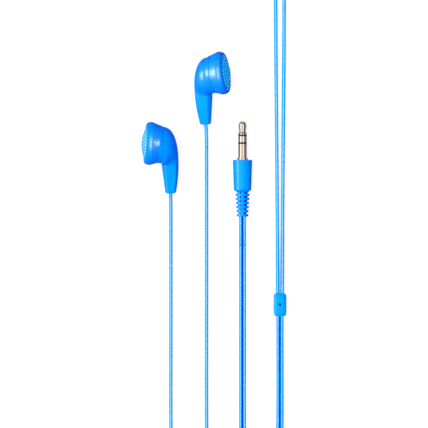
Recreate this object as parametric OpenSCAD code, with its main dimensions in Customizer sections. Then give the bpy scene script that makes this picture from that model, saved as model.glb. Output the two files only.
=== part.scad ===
// Wired ear-bud earphones: two ear-buds with dynamic drivers, a single cord from each,
// a Y splitter, a twin cord put away as a tied hank, and a three-pole 3.5 mm plug.
// Millimetres. All of it lies on a table at z = 0, with +Y along the stems towards the ear-buds' tops.

/* [Ear-bud rim] */
// Wall round the driver at the crest of the rim
rim_wall = 1.55; // [1.05:0.05:2]
// Wall round the driver at the rim's front lip
lip_wall = 0.55; // [0.45:0.05:0.75]
// Width of the flat lip round the grille
lip_land = 0.5; // [0.35:0.05:0.55]
// Axial depth of the rounded front lip
lip_depth = 2.0; // [1.6:0.1:2.2]
// Axial width of the crest
crest_w = 1.2; // [0.8:0.1:1.4]
// Wall round the driver where the crest meets the flank
flank_wall = 1.25; // [1:0.05:1.35]
// Axial width of the flank that slopes from the crest to the seam
flank_w = 2.0; // [1.8:0.1:2.2]

/* [Grille] */
// Thickness of the grille
grille_t = 0.5; // [0.35:0.05:0.6]
// Height of the grille's bulge
grille_rise = 1.7; // [1.4:0.1:2]
// Depth of the grille's edge below the lip
grille_inset = 0.2; // [0.05:0.05:0.3]
// Width of the grille's flat edge
grille_edge = 0.35; // [0.25:0.05:0.45]
// Diameter of one sound hole
hole_d = 0.8; // [0.5:0.05:0.9]
// Distance between the rings of sound holes
hole_pitch = 1.25; // [1.1:0.05:1.27]
// Rings of sound holes round the centre hole
hole_rings = 5; // [2:1:5]
// Thickness of the dust cloth
cloth_t = 0.15; // [0.1:0.05:0.25]

/* [Driver] */
// Radius of the driver
driver_r = 7; // [6.85:0.05:7.1]
// Radial gap round pieces that drop into a seat
fit_gap = 0.05; // [0.03:0.01:0.08]
// Thickness of the ledge that carries the grille and the driver
ledge_t = 0.5; // [0.4:0.05:0.6]
// Radial width of the ledge, the spacer ring and the frame's flange
ledge_w = 0.7; // [0.6:0.05:0.8]
// Thickness of the spacer ring
spacer_t = 0.5; // [0.4:0.05:0.6]
// Thickness of the diaphragm film
film_t = 0.12; // [0.1:0.01:0.15]
// Height of the diaphragm's dome
dome_rise = 0.6; // [0.4:0.05:0.65]
// Height of the surround's roll
roll_rise = 0.45; // [0.3:0.05:0.5]
// Mean radius of the voice coil
coil_r = 3.35; // [3.3:0.05:3.45]
// Radial thickness of the voice coil
coil_t = 0.3; // [0.2:0.02:0.32]
// Height of the voice coil
coil_h = 1.6; // [1.3:0.1:1.8]
// Radial air gap on each side of the voice coil
air_gap = 0.25; // [0.2:0.01:0.3]
// Distance from the film down to the top plate
plate_drop = 0.6; // [0.5:0.05:0.7]
// Thickness of the top plate
plate_t = 0.6; // [0.5:0.05:0.7]
// Thickness of the magnet
magnet_t = 1.5; // [1.4:0.1:1.8]
// How much smaller the magnet's radius is than the top plate's
magnet_inset = 0.15; // [0.05:0.05:0.3]
// Wall of the yoke
yoke_wall = 0.45; // [0.4:0.05:0.6]
// Floor of the yoke
yoke_floor = 0.6; // [0.5:0.05:0.8]
// Floor of the driver frame
frame_floor = 0.5; // [0.4:0.05:0.6]
// Diameter of a vent hole in the driver frame
vent_d = 1; // [0.8:0.1:1.2]
// Vent holes in the driver frame
vent_count = 6; // [4:1:8]
// Thickness of the damping felt over the vents
felt_t = 0.2; // [0.15:0.05:0.3]
// Thickness of the terminal board
board_t = 0.5; // [0.4:0.1:0.8]
// Angle that the terminal board spans
board_angle = 70; // [60:5:90]
// Thickness of an inner lead
lead_d = 0.5; // [0.4:0.05:0.6]

/* [Rear housing] */
// Wall round the driver at the seam
seam_wall = 0.6; // [0.45:0.05:0.6]
// Depth of the groove at the seam
seam_groove = 0.15; // [0.1:0.05:0.2]
// Length of the collar between the seam and the elbow
collar_len = 1.6; // [1.2:0.1:2]
// How far the housing's top falls from the seam to the elbow
collar_drop = 0.65; // [0.3:0.05:1.4]
// Radius of the inside corner between housing and stem
elbow_r = 0.4; // [0.3:0.05:0.6]
// Wall of the housing
housing_wall = 0.9; // [0.7:0.05:1]
// Roundness of the housing's back, 2 being an ellipse
housing_round = 2.0; // [1.7:0.05:2.4]
// Angle by which the driver leans back from the stem
lean = 6; // [4:0.5:8]

/* [Stem boot] */
// Width of the stem at its top, front to back
stem_w = 6.8; // [6.4:0.1:7.4]
// Depth of the stem at its top, side to side
stem_d = 6.2; // [5.8:0.1:6.6]
// Depth of the stem at its end
stem_end_d = 3.6; // [3.2:0.1:4]
// How far the stem's front edge tapers in
front_taper = 1.4; // [1:0.1:1.8]
// How far the stem's back edge curves in
back_taper = 1.2; // [0.8:0.1:1.6]
// Squareness of the stem's section, 0 being an ellipse
stem_square = 1.2; // [0.5:0.1:2]
// Length of the boot
boot_len = 12.2; // [12:0.2:14]
// Radius of the boot's rounded end
boot_round = 0.45; // [0.3:0.05:0.6]
// Groove between the boot and the housing
boot_groove = 0.14; // [0.05:0.01:0.2]
// Wall of the boot
boot_wall = 0.9; // [0.8:0.05:1.1]
// Distance of the crimp sleeve's seat below the boot's top
crimp_seat = 4.5; // [4:0.25:5.5]
// Length of the crimp sleeve
crimp_len = 2.2; // [1.8:0.1:2.6]
// Radius of the crimp sleeve
crimp_r = 1.25; // [1.15:0.05:1.35]

/* [Cords] */
// Diameter of a single cord, and of each half of the twin cord
cord_d = 1.4; // [1.3:0.05:1.42]
// Gap round a cord in its hole
cord_gap = 0.08; // [0.06:0.01:0.12]

/* [Splitter] */
// Width of the splitter
splitter_w = 5.1; // [4.8:0.1:5.6]
// Length of the splitter
splitter_l = 9.4; // [8.6:0.2:10.2]
// Thickness of the splitter
splitter_t = 2.8; // [2.4:0.1:3.2]
// Corner radius of the splitter
splitter_round = 0.8; // [0.5:0.05:1]
// Diameter of the round dimple on the splitter
dimple_d = 0.9; // [0.6:0.1:1.2]
// Depth of the dimple
dimple_depth = 0.4; // [0.2:0.05:0.5]
// How deep the cords go into the splitter
splitter_socket = 1.6; // [1:0.2:2.4]

/* [Plug] */
// Radius of the plug's sleeve
plug_r = 1.75; // [1.7:0.01:1.8]
// Length of the metal in front of the collar
plug_len = 14.5; // [14:0.1:15]
// Radius of the collar
collar_r = 2.2; // [2:0.05:2.5]
// Thickness of the collar
collar_t = 0.9; // [0.6:0.1:1.2]
// Length of the tip contact
tip_len = 5.3; // [5.1:0.1:5.5]
// Length of the ring contact
ring_len = 2.5; // [2.2:0.1:2.8]
// Length of one insulator
insulator_len = 0.6; // [0.4:0.05:0.7]
// Radius of the waist behind the tip's nose
waist_r = 1.4; // [1.3:0.05:1.5]
// Radius of the tip's nose at its widest
nose_r = 1.6; // [1.5:0.05:1.7]
// Radius of the rod that joins the tip to its terminal
rod_r = 0.5; // [0.4:0.05:0.6]
// Radius of the handle at its front
handle_r = 3.88; // [3.6:0.02:4.2]
// Radius of the handle at its back
handle_back_r = 3.48; // [3.3:0.02:3.55]
// Length of the handle
handle_len = 12; // [11:0.5:14]
// Length of the chamfer at the handle's back
handle_chamfer = 0.8; // [0.5:0.1:1.2]
// Radius of the insulating body inside the handle
core_r = 2.4; // [2.25:0.05:2.6]
// Length of the insulating body
core_len = 9.5; // [8.5:0.5:10]

/* [Strain relief] */
// Ribs on the strain relief
rib_count = 6; // [4:1:7]
// Distance from one rib to the next
rib_pitch = 1.64; // [1.5:0.02:1.8]
// Thickness of one rib
rib_t = 0.95; // [0.8:0.05:1.05]
// Radius of the first rib
rib_r = 2.85; // [2.7:0.05:3]
// Radius of the last rib
rib_end_r = 2.35; // [2.25:0.05:2.5]
// Depth of the slots between the ribs
slot_depth = 0.55; // [0.4:0.05:0.6]
// Width of the webs that bridge the slots
web_w = 1.1; // [0.8:0.1:1.4]

/* [Hank] */
// Radius of the outermost fold
fold_r = 10.6; // [10.4:0.1:11.2]
// Half the length of a straight run
run_half = 21; // [20:0.5:23]
// Step from one loop to the next
loop_step = 2.05; // [1.98:0.01:2.1]
// Gap between the two layers of loops
layer_gap = 0.5; // [0.45:0.05:0.7]
// How far the runs are drawn in at the waist
waist_draw = 4.5; // [3.5:0.1:4.8]
// Width of the tie
tie_w = 3.5; // [2.5:0.1:5]
// Thickness of the tie
tie_t = 0.7; // [0.5:0.05:0.9]
// Gap between the tie and the cord in it
tie_gap = 0.2; // [0.15:0.05:0.3]

/* [Places on the table] */
// Inside corner of the left ear-bud, across
left_x = -10.2; // [-12:0.1:-9]
// Inside corner of the left ear-bud, along
left_y = -16.5; // [-18:0.1:-15]
// Turn of the left ear-bud on the table
left_spin = 0.6; // [-1:0.1:2]
// Slope of the left stem down to the table
left_tilt = 17.25; // [14:0.25:19]
// Turn of the left face towards the viewer
left_roll = 4.2; // [2:0.1:8]
// Inside corner of the right ear-bud, across
right_x = 10.8; // [10:0.1:12]
// Inside corner of the right ear-bud, along
right_y = 11.3; // [11:0.1:13]
// Turn of the right ear-bud on the table
right_spin = 4.3; // [3:0.1:6]
// Slope of the right stem down to the table
right_tilt = 14.25; // [12:0.25:16]
// Turn of the right face towards the viewer
right_roll = 12; // [9:0.1:15]

/* [Hidden] */

$fn = 48;
small_fn = 24;

// Colours
housing_blue = "#0b86ff";
boot_blue = "#12a0ff";
cord_blue = "#1f9bff";
grille_blue = "#7fd4ff";
nickel = "#d8d2c8";
brass_tone = "#d9b46a";
copper = "#c77b3a";
film_clear = "#d8e6ea";
steel = "#9aa0a6";
magnet_grey = "#55585c";
felt_white = "#e8e6df";
board_green = "#2f7a4a";
black_plastic = "#15161a";
frame_white = "#dfe3e6";

// Small shared sizes
eps = 0.01;
loft_sides = 32;
elbow_step = 7.5;
boot_steps = 7;
cord_sides = 8;
hank_sides = 6;
lead_sides = 6;
round_steps = 8;

// Levels along the driver's axis, from the seam (0) forward
front_len = lip_depth + crest_w + flank_w;
flange_top = front_len - grille_inset;
flange_low = flange_top - grille_t;
cloth_low = flange_low - cloth_t;
ledge_low = cloth_low - ledge_t;
film_top = ledge_low - spacer_t;
film_low = film_top - film_t;
plate_top = film_low - plate_drop;
plate_low = plate_top - plate_t;
magnet_low = plate_low - magnet_t;
yoke_low = magnet_low - yoke_floor;

// Radii of the rim and the housing, from the driver outwards
bore_r = driver_r + fit_gap;
lip_r = bore_r + lip_wall;
rim_r = bore_r + rim_wall;
flank_r = bore_r + flank_wall;
seam_r = bore_r + seam_wall;

// Radii in the driver
grille_r = lip_r - lip_land - fit_gap;
grille_dome_r = grille_r - grille_edge;
ledge_r = driver_r - ledge_w;
coil_in = coil_r - coil_t / 2;
coil_out = coil_r + coil_t / 2;
plate_r = coil_in - air_gap;
magnet_r = plate_r - magnet_inset;
yoke_in = coil_out + air_gap;
yoke_r = yoke_in + yoke_wall;
frame_collar_t = 0.4;
frame_collar_r = yoke_r + fit_gap + frame_collar_t;
felt_gap = 0.2;
felt_out = seam_r - housing_wall - felt_gap;
board_in = frame_collar_r + felt_gap / 2;
dome_edge_r = coil_out + 0.1;
surround_in = dome_edge_r + 0.03;
roll_in = dome_edge_r + 0.2;
pad_at = (board_in + felt_out) / 2;
pad_angle = board_angle * 0.22;
pad_r = 0.6;
pad_t = 0.15;

// Directions and places in an ear-bud: its inside corner is the origin, the stem runs to -Y,
// the face looks to +X
lean_up = [-sin(lean), cos(lean), 0];
lean_front = [cos(lean), sin(lean), 0];
elbow_centre = lean_up * (elbow_r + seam_r);
seam_centre = elbow_centre + lean_front * collar_len;
cord_x = -(elbow_r + front_taper + elbow_r + stem_w - back_taper) / 2;
cord_hole_r = cord_d / 2 + cord_gap;
crimp_top = crimp_len - crimp_seat;

// Height of the ear-bud's inside corner when its lowest point, on the rim, the housing or the
// stem's end, touches the table
function ring_low(r, level, roll, tilt) =
    let (o = seam_centre + lean_front * level)
    let (across = cos(lean) * sin(roll) * cos(tilt) + sin(lean) * sin(tilt))
    o.x * sin(roll) * cos(tilt) + o.y * sin(tilt) - r * sqrt(1 - across * across);
function rim_low(roll, tilt) =
    min([for (p = concat(lip_curve(), crest_curve())) ring_low(p[0], p[1], roll, tilt)]);
function points_low(points, roll, tilt) = min([for (p = points) tilted(rolled(p, roll), tilt).z]);
function housing_low(roll, tilt) =
    min([for (t = [0 : elbow_step : 90]) points_low(elbow_oval(t, 0), roll, tilt)]);
function boot_low(roll, tilt) = points_low(boot_oval(boot_round - boot_len, 0), roll, tilt);
function bud_height(roll, tilt) = -min(rim_low(roll, tilt), housing_low(roll, tilt), boot_low(roll, tilt));

// A point of an ear-bud on the table; hand is -1 for the left ear-bud
function rolled(p, roll) = [p.x * cos(roll) - p.z * sin(roll), p.y, p.x * sin(roll) + p.z * cos(roll)];
function tilted(p, tilt) = [p.x, p.y * cos(tilt) - p.z * sin(tilt), p.y * sin(tilt) + p.z * cos(tilt)];
function spun(p, spin) = [p.x * cos(spin) - p.y * sin(spin), p.x * sin(spin) + p.y * cos(spin), p.z];
function handed(p, hand) = [hand * p.x, p.y, p.z];
function on_left(p) =
    [left_x, left_y, bud_height(left_roll, left_tilt)]
    + spun(tilted(handed(rolled(p, left_roll), -1), left_tilt), left_spin);
function on_right(p) =
    [right_x, right_y, bud_height(right_roll, right_tilt)]
    + spun(tilted(rolled(p, right_roll), right_tilt), right_spin);

// Where the cord starts in its crimp sleeve, and two points straight out of the stem
cord_start = [[cord_x, crimp_top, 0], [cord_x, -boot_len, 0], [cord_x, -boot_len - 2 * cord_d, 0]];

// Plug and splitter places
plug_x = 22.6;
plug_y = -15;
relief_start = handle_len + handle_chamfer;
relief_gap = rib_pitch - rib_t;
relief_len = rib_count * rib_pitch;
plug_end = plug_y - relief_start - relief_len;
splitter_x = 37.6;
splitter_top = -68.2;
splitter_low = splitter_top - splitter_l;
under_cords = 1.5;
splitter_z = under_cords + splitter_t / 2;
branch_gap = 1.9;

// Hank layout: rings along one loop are run, fold, run, fold
hank_x = 29;
hank_y = -182.5;
run_rings = 4;
fold_rings = 8;
loop_rings = 2 * (run_rings + fold_rings);
hank_rings = 88;
turn_ring = 50;
climb_ring = 48;
hank_lead = 3;
layer_rise = 2 * cord_d + layer_gap;
waist_lift = tie_t + tie_gap;
hank_in = hank_point(0) + [0, hank_lead, 0];
hank_out = hank_point(hank_rings) + [0, hank_lead, 0];

// Routes: points chosen by hand, all on the table or on the cord below
left_route = [
    [-6.1, -36, 0.9], [-6.1, -42, 0.7], [-6.1, -80, 0.7], [-6.1, -119, 0.7], [-5.6, -126, 0.7],
    [-2, -134, 0.7], [6, -139.4, 0.7], [16, -141, 0.7], [26, -139.4, 0.7], [34, -134, 0.7],
    [37.8, -126, 0.7], [38.35, -119, 0.7], [38.35, -75, 0.7], [38.7, -31, 0.7], [39.3, 49, 0.7],
    [39.3, 62, 0.7], [40.6, 66, 0.7], [43.6, 67.6, 0.7], [46.8, 66, 0.7], [47.9, 62.5, 0.7],
    [46.6, 59, 0.8], [43.5, 56.6, 1.3], [40.4, 54, 2.1], [39.3, 50, 2.2], [39.2, 25, 2.2],
    [38.7, -31, 2.2], [38.6, -60, 2.4], [splitter_x + branch_gap / 2, -65, splitter_z]
];
right_route = [
    [8.2, -9, 0.9], [8.2, -15, 0.7], [8.2, -60, 0.7], [8.2, -118, 0.7], [8.7, -124, 0.7],
    [11.4, -130.4, 0.7], [16.4, -134.2, 0.7], [22.5, -135.4, 0.7], [28.6, -134.2, 0.7],
    [33.6, -130.4, 0.7], [36.2, -124, 0.7], [36.85, -118, 0.7], [36.85, -75, 0.7], [36.5, -31, 0.7],
    [35.8, 49, 0.7], [35.8, 62, 0.7], [34.5, 66, 0.7], [31.5, 67.6, 0.7], [28.3, 66, 0.7],
    [27.2, 62.5, 0.7], [28.5, 59, 0.8], [31.6, 56.6, 1.3], [34.7, 54, 2.1], [35.8, 50, 2.2],
    [36, 25, 2.2], [36.5, -31, 2.2], [36.6, -60, 2.4], [splitter_x - branch_gap / 2, -65, splitter_z]
];
trunk_route = [
    [37.6, -81, 2.6], [37.6, -87, 2.2], [37.6, -120, 2.2], [37.6, -134, 2.2], [37.9, -141, 1.8],
    [38.9, -149, 1.4], hank_in + [0, hank_lead, 0]
];
trunk_roll = [0, 0, 0, 0, 0, 0, 20, 60, 90, 90];
plug_route = [
    hank_out + [0, hank_lead, 0], [20.3, -150, 3.8], [21.8, -145, 2.7], [22.6, -140, 2.2], [22.6, -132, 2.2],
    [22.6, -125, 1], [22.6, -120, 0.7], [22.6, -56, 0.7], [22.6, -49, 1.3], [22.6, -43, 3.2]
];
plug_roll = [90, 90, 60, 20, 0, 0, 0, 0, 0, 0, 0, 0, 0];

// Lofts and sweeps
function unit(v) = v / norm(v);
function signed_power(v, p) = sign(v) * pow(abs(v), p);
function oval(o, a, b, ha, hb, n) = [
    for (j = [0 : loft_sides - 1])
    let (t = 360 * j / loft_sides)
    o + a * ha * signed_power(cos(t), 2 / n) + b * hb * signed_power(sin(t), 2 / n)
];
function heading(path, i) =
    let (last = len(path) - 1)
    i == 0 ? unit(path[1] - path[0])
    : i == last ? unit(path[last] - path[last - 1])
    : unit(unit(path[i + 1] - path[i]) + unit(path[i] - path[i - 1]));
function swept_ring(p, way, roll, half_w, half_h, sides) =
    let (side = unit(cross([0, 0, 1], way)))
    let (up = cross(way, side))
    [
        for (j = [0 : sides - 1])
        let (t = 360 * j / sides, w = half_w * cos(t), h = half_h * sin(t))
        p + side * (w * cos(roll) - h * sin(roll)) + up * (w * sin(roll) + h * cos(roll))
    ];
function swept(path, rolls, half_w, half_h, sides) = [
    for (i = [0 : len(path) - 1])
    swept_ring(path[i], heading(path, i), rolls[i], half_w, half_h, sides)
];
function flat_list(rings) = [for (ring = rings) each ring];
function side_faces(from, to, sides) = [
    for (j = [0 : sides - 1])
    let (k = (j + 1) % sides)
    each [
        [from * sides + j, to * sides + j, to * sides + k],
        [from * sides + j, to * sides + k, from * sides + k]
    ]
];
function level(v) = [for (i = [1 : len(v)]) 0];

// A solid through rings, closed by flat ends
module capped(rings) {
    sides = len(rings[0]);
    last = len(rings) - 1;
    walls = [for (i = [0 : last - 1]) each side_faces(i, i + 1, sides)];
    start_cap = [for (j = [1 : sides - 2]) [0, j, j + 1]];
    end_cap = [for (j = [1 : sides - 2]) [last * sides, last * sides + j + 1, last * sides + j]];
    polyhedron(flat_list(rings), concat(walls, start_cap, end_cap));
}

// A hollow solid: rings down the outside and back up the inside
module hollow(rings) {
    sides = len(rings[0]);
    count = len(rings);
    walls = [for (i = [0 : count - 1]) each side_faces(i, (i + 1) % count, sides)];
    polyhedron(flat_list(rings), walls);
}

module round_cord(path) {
    capped(swept(path, level(path), cord_d / 2, cord_d / 2, cord_sides));
}

module twin_cord(path, rolls) {
    capped(swept(path, rolls, cord_d, cord_d / 2, cord_sides));
}

// Placing
module left() {
    translate([left_x, left_y, bud_height(left_roll, left_tilt)])
        rotate([0, 0, left_spin])
            rotate([left_tilt, 0, 0])
                mirror([1, 0, 0])
                    rotate([0, -left_roll, 0])
                        children();
}

module right() {
    translate([right_x, right_y, bud_height(right_roll, right_tilt)])
        rotate([0, 0, right_spin])
            rotate([right_tilt, 0, 0])
                rotate([0, -right_roll, 0])
                    children();
}

// The driver's axis becomes Z, with the seam at 0 and the face towards +Z
module on_driver() {
    translate(seam_centre)
        rotate([0, 0, lean])
            rotate([0, 90, 0])
                children();
}

// The plug's axis becomes Z, with the handle's front face at 0 and the tip towards +Z
module on_plug() {
    translate([plug_x, plug_y, handle_r])
        rotate([-90, 0, 0])
            children();
}

module tube(r_out, r_in, low, high) {
    translate([0, 0, low])
        difference() {
            cylinder(r = r_out, h = high - low);
            translate([0, 0, -eps])
                cylinder(r = r_in, h = high - low + 2 * eps);
        }
}

module rounded_rect(w, h, r) {
    square([w - 2 * r, h], center = true);
    square([w, h - 2 * r], center = true);
    for (x = [-1, 1])
        for (y = [-1, 1])
            translate([x * (w / 2 - r), y * (h / 2 - r)])
                circle(r = r);
}

// Front ring: rounded lip, crest and sloping flank outside; grille seat, ledge and driver bore inside
function lip_curve() = [
    for (i = [0 : round_steps])
    let (t = 90 * i / round_steps)
    [lip_r + (rim_r - lip_r) * sin(t), front_len - lip_depth * (1 - cos(t))]
];
function crest_curve() = [
    for (i = [1 : round_steps])
    let (t = 90 * (1 - i / round_steps))
    [flank_r + (rim_r - flank_r) * sin(t), flank_w + crest_w * t / 90]
];

module front_ring() {
    seat_r = grille_r + fit_gap;
    inside = [
        [bore_r, 0], [bore_r, ledge_low], [ledge_r, ledge_low], [ledge_r, cloth_low],
        [seat_r, cloth_low], [seat_r, front_len]
    ];
    seam = [[seam_r, seam_groove], [seam_r - seam_groove, 0]];
    color(housing_blue)
        on_driver()
            rotate_extrude()
                polygon(concat(inside, lip_curve(), crest_curve(), seam));
}

// Grille: a domed disc with rings of sound holes
function dome_curve(base_r, base_level, rise) =
    let (ball = (base_r * base_r + rise * rise) / (2 * rise), sweep = asin(base_r / ball))
    [
        for (i = [0 : round_steps])
        let (t = sweep * (1 - i / round_steps))
        [ball * sin(t), base_level + rise - ball * (1 - cos(t))]
    ];

module sound_holes() {
    for (k = [0 : hole_rings])
        for (j = [0 : max(1, 6 * k) - 1])
            rotate([0, 0, 360 * j / max(1, 6 * k)])
                translate([k * hole_pitch, 0, flange_low - grille_t])
                    cylinder(d = hole_d, h = grille_rise + 3 * grille_t, $fn = small_fn);
}

module grille() {
    outside = dome_curve(grille_dome_r, flange_top, grille_rise);
    inside = dome_curve(grille_dome_r, flange_low, grille_rise);
    back = [for (i = [round_steps : -1 : 0]) inside[i]];
    color(grille_blue)
        on_driver()
            difference() {
                rotate_extrude()
                    polygon(concat([[grille_r, flange_low], [grille_r, flange_top]], outside, back));
                sound_holes();
            }
}

module dust_cloth() {
    color(felt_white)
        on_driver()
            translate([0, 0, cloth_low])
                cylinder(r = grille_r, h = cloth_t);
}

module spacer_ring() {
    color(brass_tone)
        on_driver()
            tube(driver_r, ledge_r, film_top, ledge_low);
}

// Surround: a rolled annulus of film between the spacer ring and the dome
function roll_curve(low) = [
    for (i = [0 : round_steps])
    let (t = 180 * i / round_steps)
    [(roll_in + ledge_r) / 2 - (ledge_r - roll_in) / 2 * cos(t), low + roll_rise * sin(t)]
];

module surround() {
    top = roll_curve(film_top);
    low = roll_curve(film_low);
    back = [for (i = [round_steps : -1 : 0]) low[i]];
    color(film_clear)
        on_driver()
            rotate_extrude()
                polygon(concat(
                    [[surround_in, film_low], [surround_in, film_top]], top,
                    [[driver_r, film_top], [driver_r, film_low]], back
                ));
}

// Dome of film over the voice coil
module dome() {
    cap = dome_curve(coil_in, film_top, dome_rise);
    under = dome_curve(coil_in, film_low, dome_rise);
    back = [for (i = [round_steps : -1 : 0]) under[i]];
    color(film_clear)
        on_driver()
            rotate_extrude()
                polygon(concat([[dome_edge_r, film_low], [dome_edge_r, film_top]], cap, back));
}

module voice_coil() {
    color(copper)
        on_driver()
            tube(coil_out, coil_in, film_low - coil_h, film_low);
}

module top_plate() {
    color(steel)
        on_driver()
            translate([0, 0, plate_low])
                cylinder(r = plate_r, h = plate_t);
}

module magnet() {
    color(magnet_grey)
        on_driver()
            translate([0, 0, magnet_low])
                cylinder(r = magnet_r, h = magnet_t);
}

module yoke() {
    color(steel)
        on_driver()
            difference() {
                translate([0, 0, yoke_low])
                    cylinder(r = yoke_r, h = plate_top - yoke_low);
                translate([0, 0, magnet_low])
                    cylinder(r = yoke_in, h = plate_top - magnet_low + eps);
            }
}

// Driver frame: a cup with a collar round the yoke and a ring of vents in its floor
module driver_frame() {
    wall = ledge_w * 0.8;
    vent_at = (frame_collar_r + driver_r - wall) / 2;
    color(frame_white)
        on_driver()
            difference() {
                union() {
                    tube(driver_r, driver_r - wall, 0, film_low);
                    tube(driver_r, yoke_r + fit_gap, 0, frame_floor);
                    tube(frame_collar_r, yoke_r + fit_gap, 0, 2 * frame_floor);
                }
                for (i = [0 : vent_count - 1])
                    rotate([0, 0, 360 * i / vent_count])
                        translate([vent_at, 0, -eps])
                            cylinder(d = vent_d, h = frame_floor + 2 * eps, $fn = small_fn);
            }
}

module vent_felt() {
    color(felt_white)
        on_driver()
            tube(felt_out, frame_collar_r, -felt_t, 0);
}

// Terminal board on the stem's side of the felt, with two solder pads; +X here is down the stem
module terminal_board() {
    far = 2 * felt_out;
    color(board_green)
        on_driver()
            translate([0, 0, -felt_t - board_t]) {
                linear_extrude(board_t)
                    intersection() {
                        difference() {
                            circle(r = felt_out);
                            circle(r = board_in);
                        }
                        polygon([
                            [0, 0], [far, -far * tan(board_angle / 2)], [far, far * tan(board_angle / 2)]
                        ]);
                    }
                for (s = [-1, 1])
                    rotate([0, 0, s * pad_angle])
                        translate([pad_at, 0, -pad_t])
                            cylinder(r = pad_r, h = pad_t + eps, $fn = small_fn);
            }
}

// Two leads from the end of the cord to the solder pads
function lead_path(s) =
    let (pad = seam_centre - lean_front * (felt_t + board_t + pad_t)
        - lean_up * pad_at * cos(pad_angle) + [0, 0, s * pad_at * sin(pad_angle)])
    let (from = [cord_x, crimp_top, s * lead_d * 0.6])
    [
        from, from + [0, 1.6, 0], from + [0.5, 3.4, s * 0.3], [cord_x * 0.6, pad.y, s * 0.9],
        pad - lean_front * 1.2, pad
    ];

module inner_leads() {
    color(copper)
        for (s = [-1, 1]) {
            path = lead_path(s);
            capped(swept(path, level(path), lead_d / 2, lead_d / 2, lead_sides));
        }
}

// Rear housing: a hollow loft that starts as a round collar at the seam and turns
// about the inside corner into the oval top of the stem
function collar_oval(along, r) = oval(elbow_centre + lean_front * along, lean_up, [0, 0, -1], r, r, 2);
function housing_reach(t) =
    let (back = sin(t) / (elbow_r + stem_w), top = cos(t) / (elbow_r + 2 * seam_r - collar_drop))
    pow(pow(back, housing_round) + pow(top, housing_round), -1 / housing_round);
function elbow_oval(t, inset) =
    let (turn = lean + (90 - lean) * t / 90)
    let (out = [-sin(turn), cos(turn), 0], half = (housing_reach(t) - elbow_r) / 2)
    let (half_d = stem_d / 2 + (seam_r - (collar_drop + stem_d) / 2) * pow(cos(t), 2))
    oval(out * (elbow_r + half), out, [0, 0, -1], half - inset, half_d - inset,
        2 + stem_square * pow(sin(t), 2));

module rear_housing() {
    outside = concat(
        [collar_oval(collar_len, seam_r - seam_groove), collar_oval(collar_len - seam_groove, seam_r)],
        [for (t = [0 : elbow_step : 90]) elbow_oval(t, 0)]
    );
    inside = concat(
        [for (t = [90 : -elbow_step : 0]) elbow_oval(t, housing_wall)],
        [collar_oval(collar_len, seam_r - housing_wall)]
    );
    color(housing_blue)
        hollow(concat(outside, inside));
}

// Stem boot: a tapering loft with a chamber for the crimp sleeve and a hole for the cord
function boot_oval(y, inset) =
    let (s = -y / boot_len)
    let (front = -elbow_r - front_taper * s, back = -elbow_r - stem_w + back_taper * s * s)
    let (half_d = (stem_d + (stem_end_d - stem_d) * s) / 2)
    oval([(front + back) / 2, y, 0], [1, 0, 0], [0, 0, 1], (front - back) / 2 - inset, half_d - inset,
        2 + stem_square);
function boot_hole(y) = oval([cord_x, y, 0], [1, 0, 0], [0, 0, 1], cord_hole_r, cord_hole_r, 2);

module stem_boot() {
    shoulder = 2 * boot_groove;
    straight = boot_len - boot_round;
    wall_step = (straight - shoulder) / boot_steps;
    outside = concat(
        [boot_oval(0, boot_groove)],
        [for (i = [0 : boot_steps]) boot_oval(-shoulder - wall_step * i, 0)],
        [for (t = [45, 90]) boot_oval(-straight - boot_round * sin(t), boot_round * (1 - cos(t)))]
    );
    inside = [
        boot_hole(-boot_len), boot_hole(-crimp_seat),
        boot_oval(-crimp_seat, boot_wall), boot_oval(0, boot_wall)
    ];
    color(boot_blue)
        hollow(concat(outside, inside));
}

module crimp_sleeve() {
    color(steel)
        translate([cord_x, 0, 0])
            rotate([-90, 0, 0])
                tube(crimp_r, cord_hole_r, -crimp_seat, crimp_top);
}

module left_front_ring() left() front_ring();
module left_grille() left() grille();
module left_dust_cloth() left() dust_cloth();
module left_spacer_ring() left() spacer_ring();
module left_surround() left() surround();
module left_dome() left() dome();
module left_voice_coil() left() voice_coil();
module left_top_plate() left() top_plate();
module left_magnet() left() magnet();
module left_yoke() left() yoke();
module left_driver_frame() left() driver_frame();
module left_vent_felt() left() vent_felt();
module left_terminal_board() left() terminal_board();
module left_inner_leads() left() inner_leads();
module left_rear_housing() left() rear_housing();
module left_stem_boot() left() stem_boot();
module left_crimp_sleeve() left() crimp_sleeve();

module right_front_ring() right() front_ring();
module right_grille() right() grille();
module right_dust_cloth() right() dust_cloth();
module right_spacer_ring() right() spacer_ring();
module right_surround() right() surround();
module right_dome() right() dome();
module right_voice_coil() right() voice_coil();
module right_top_plate() right() top_plate();
module right_magnet() right() magnet();
module right_yoke() right() yoke();
module right_driver_frame() right() driver_frame();
module right_vent_felt() right() vent_felt();
module right_terminal_board() right() terminal_board();
module right_inner_leads() right() inner_leads();
module right_rear_housing() right() rear_housing();
module right_stem_boot() right() stem_boot();
module right_crimp_sleeve() right() crimp_sleeve();

// Cords
socket_y = splitter_top - splitter_socket;
trunk_y = splitter_low + splitter_socket;

module left_cord() {
    start = [for (p = cord_start) on_left(p)];
    color(cord_blue)
        round_cord(concat(start, left_route, [[splitter_x + branch_gap / 2, socket_y, splitter_z]]));
}

module right_cord() {
    start = [for (p = cord_start) on_right(p)];
    color(cord_blue)
        round_cord(concat(start, right_route, [[splitter_x - branch_gap / 2, socket_y, splitter_z]]));
}

module trunk_lead() {
    start = [[splitter_x, trunk_y, splitter_z], [splitter_x, splitter_low, splitter_z]];
    color(cord_blue)
        twin_cord(concat(start, trunk_route, [hank_in]), trunk_roll);
}

module plug_lead() {
    mouth = [plug_x, plug_end, handle_r];
    color(cord_blue)
        twin_cord(concat([hank_out], plug_route, [mouth, mouth + [0, rib_pitch, 0]]), plug_roll);
}

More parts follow.
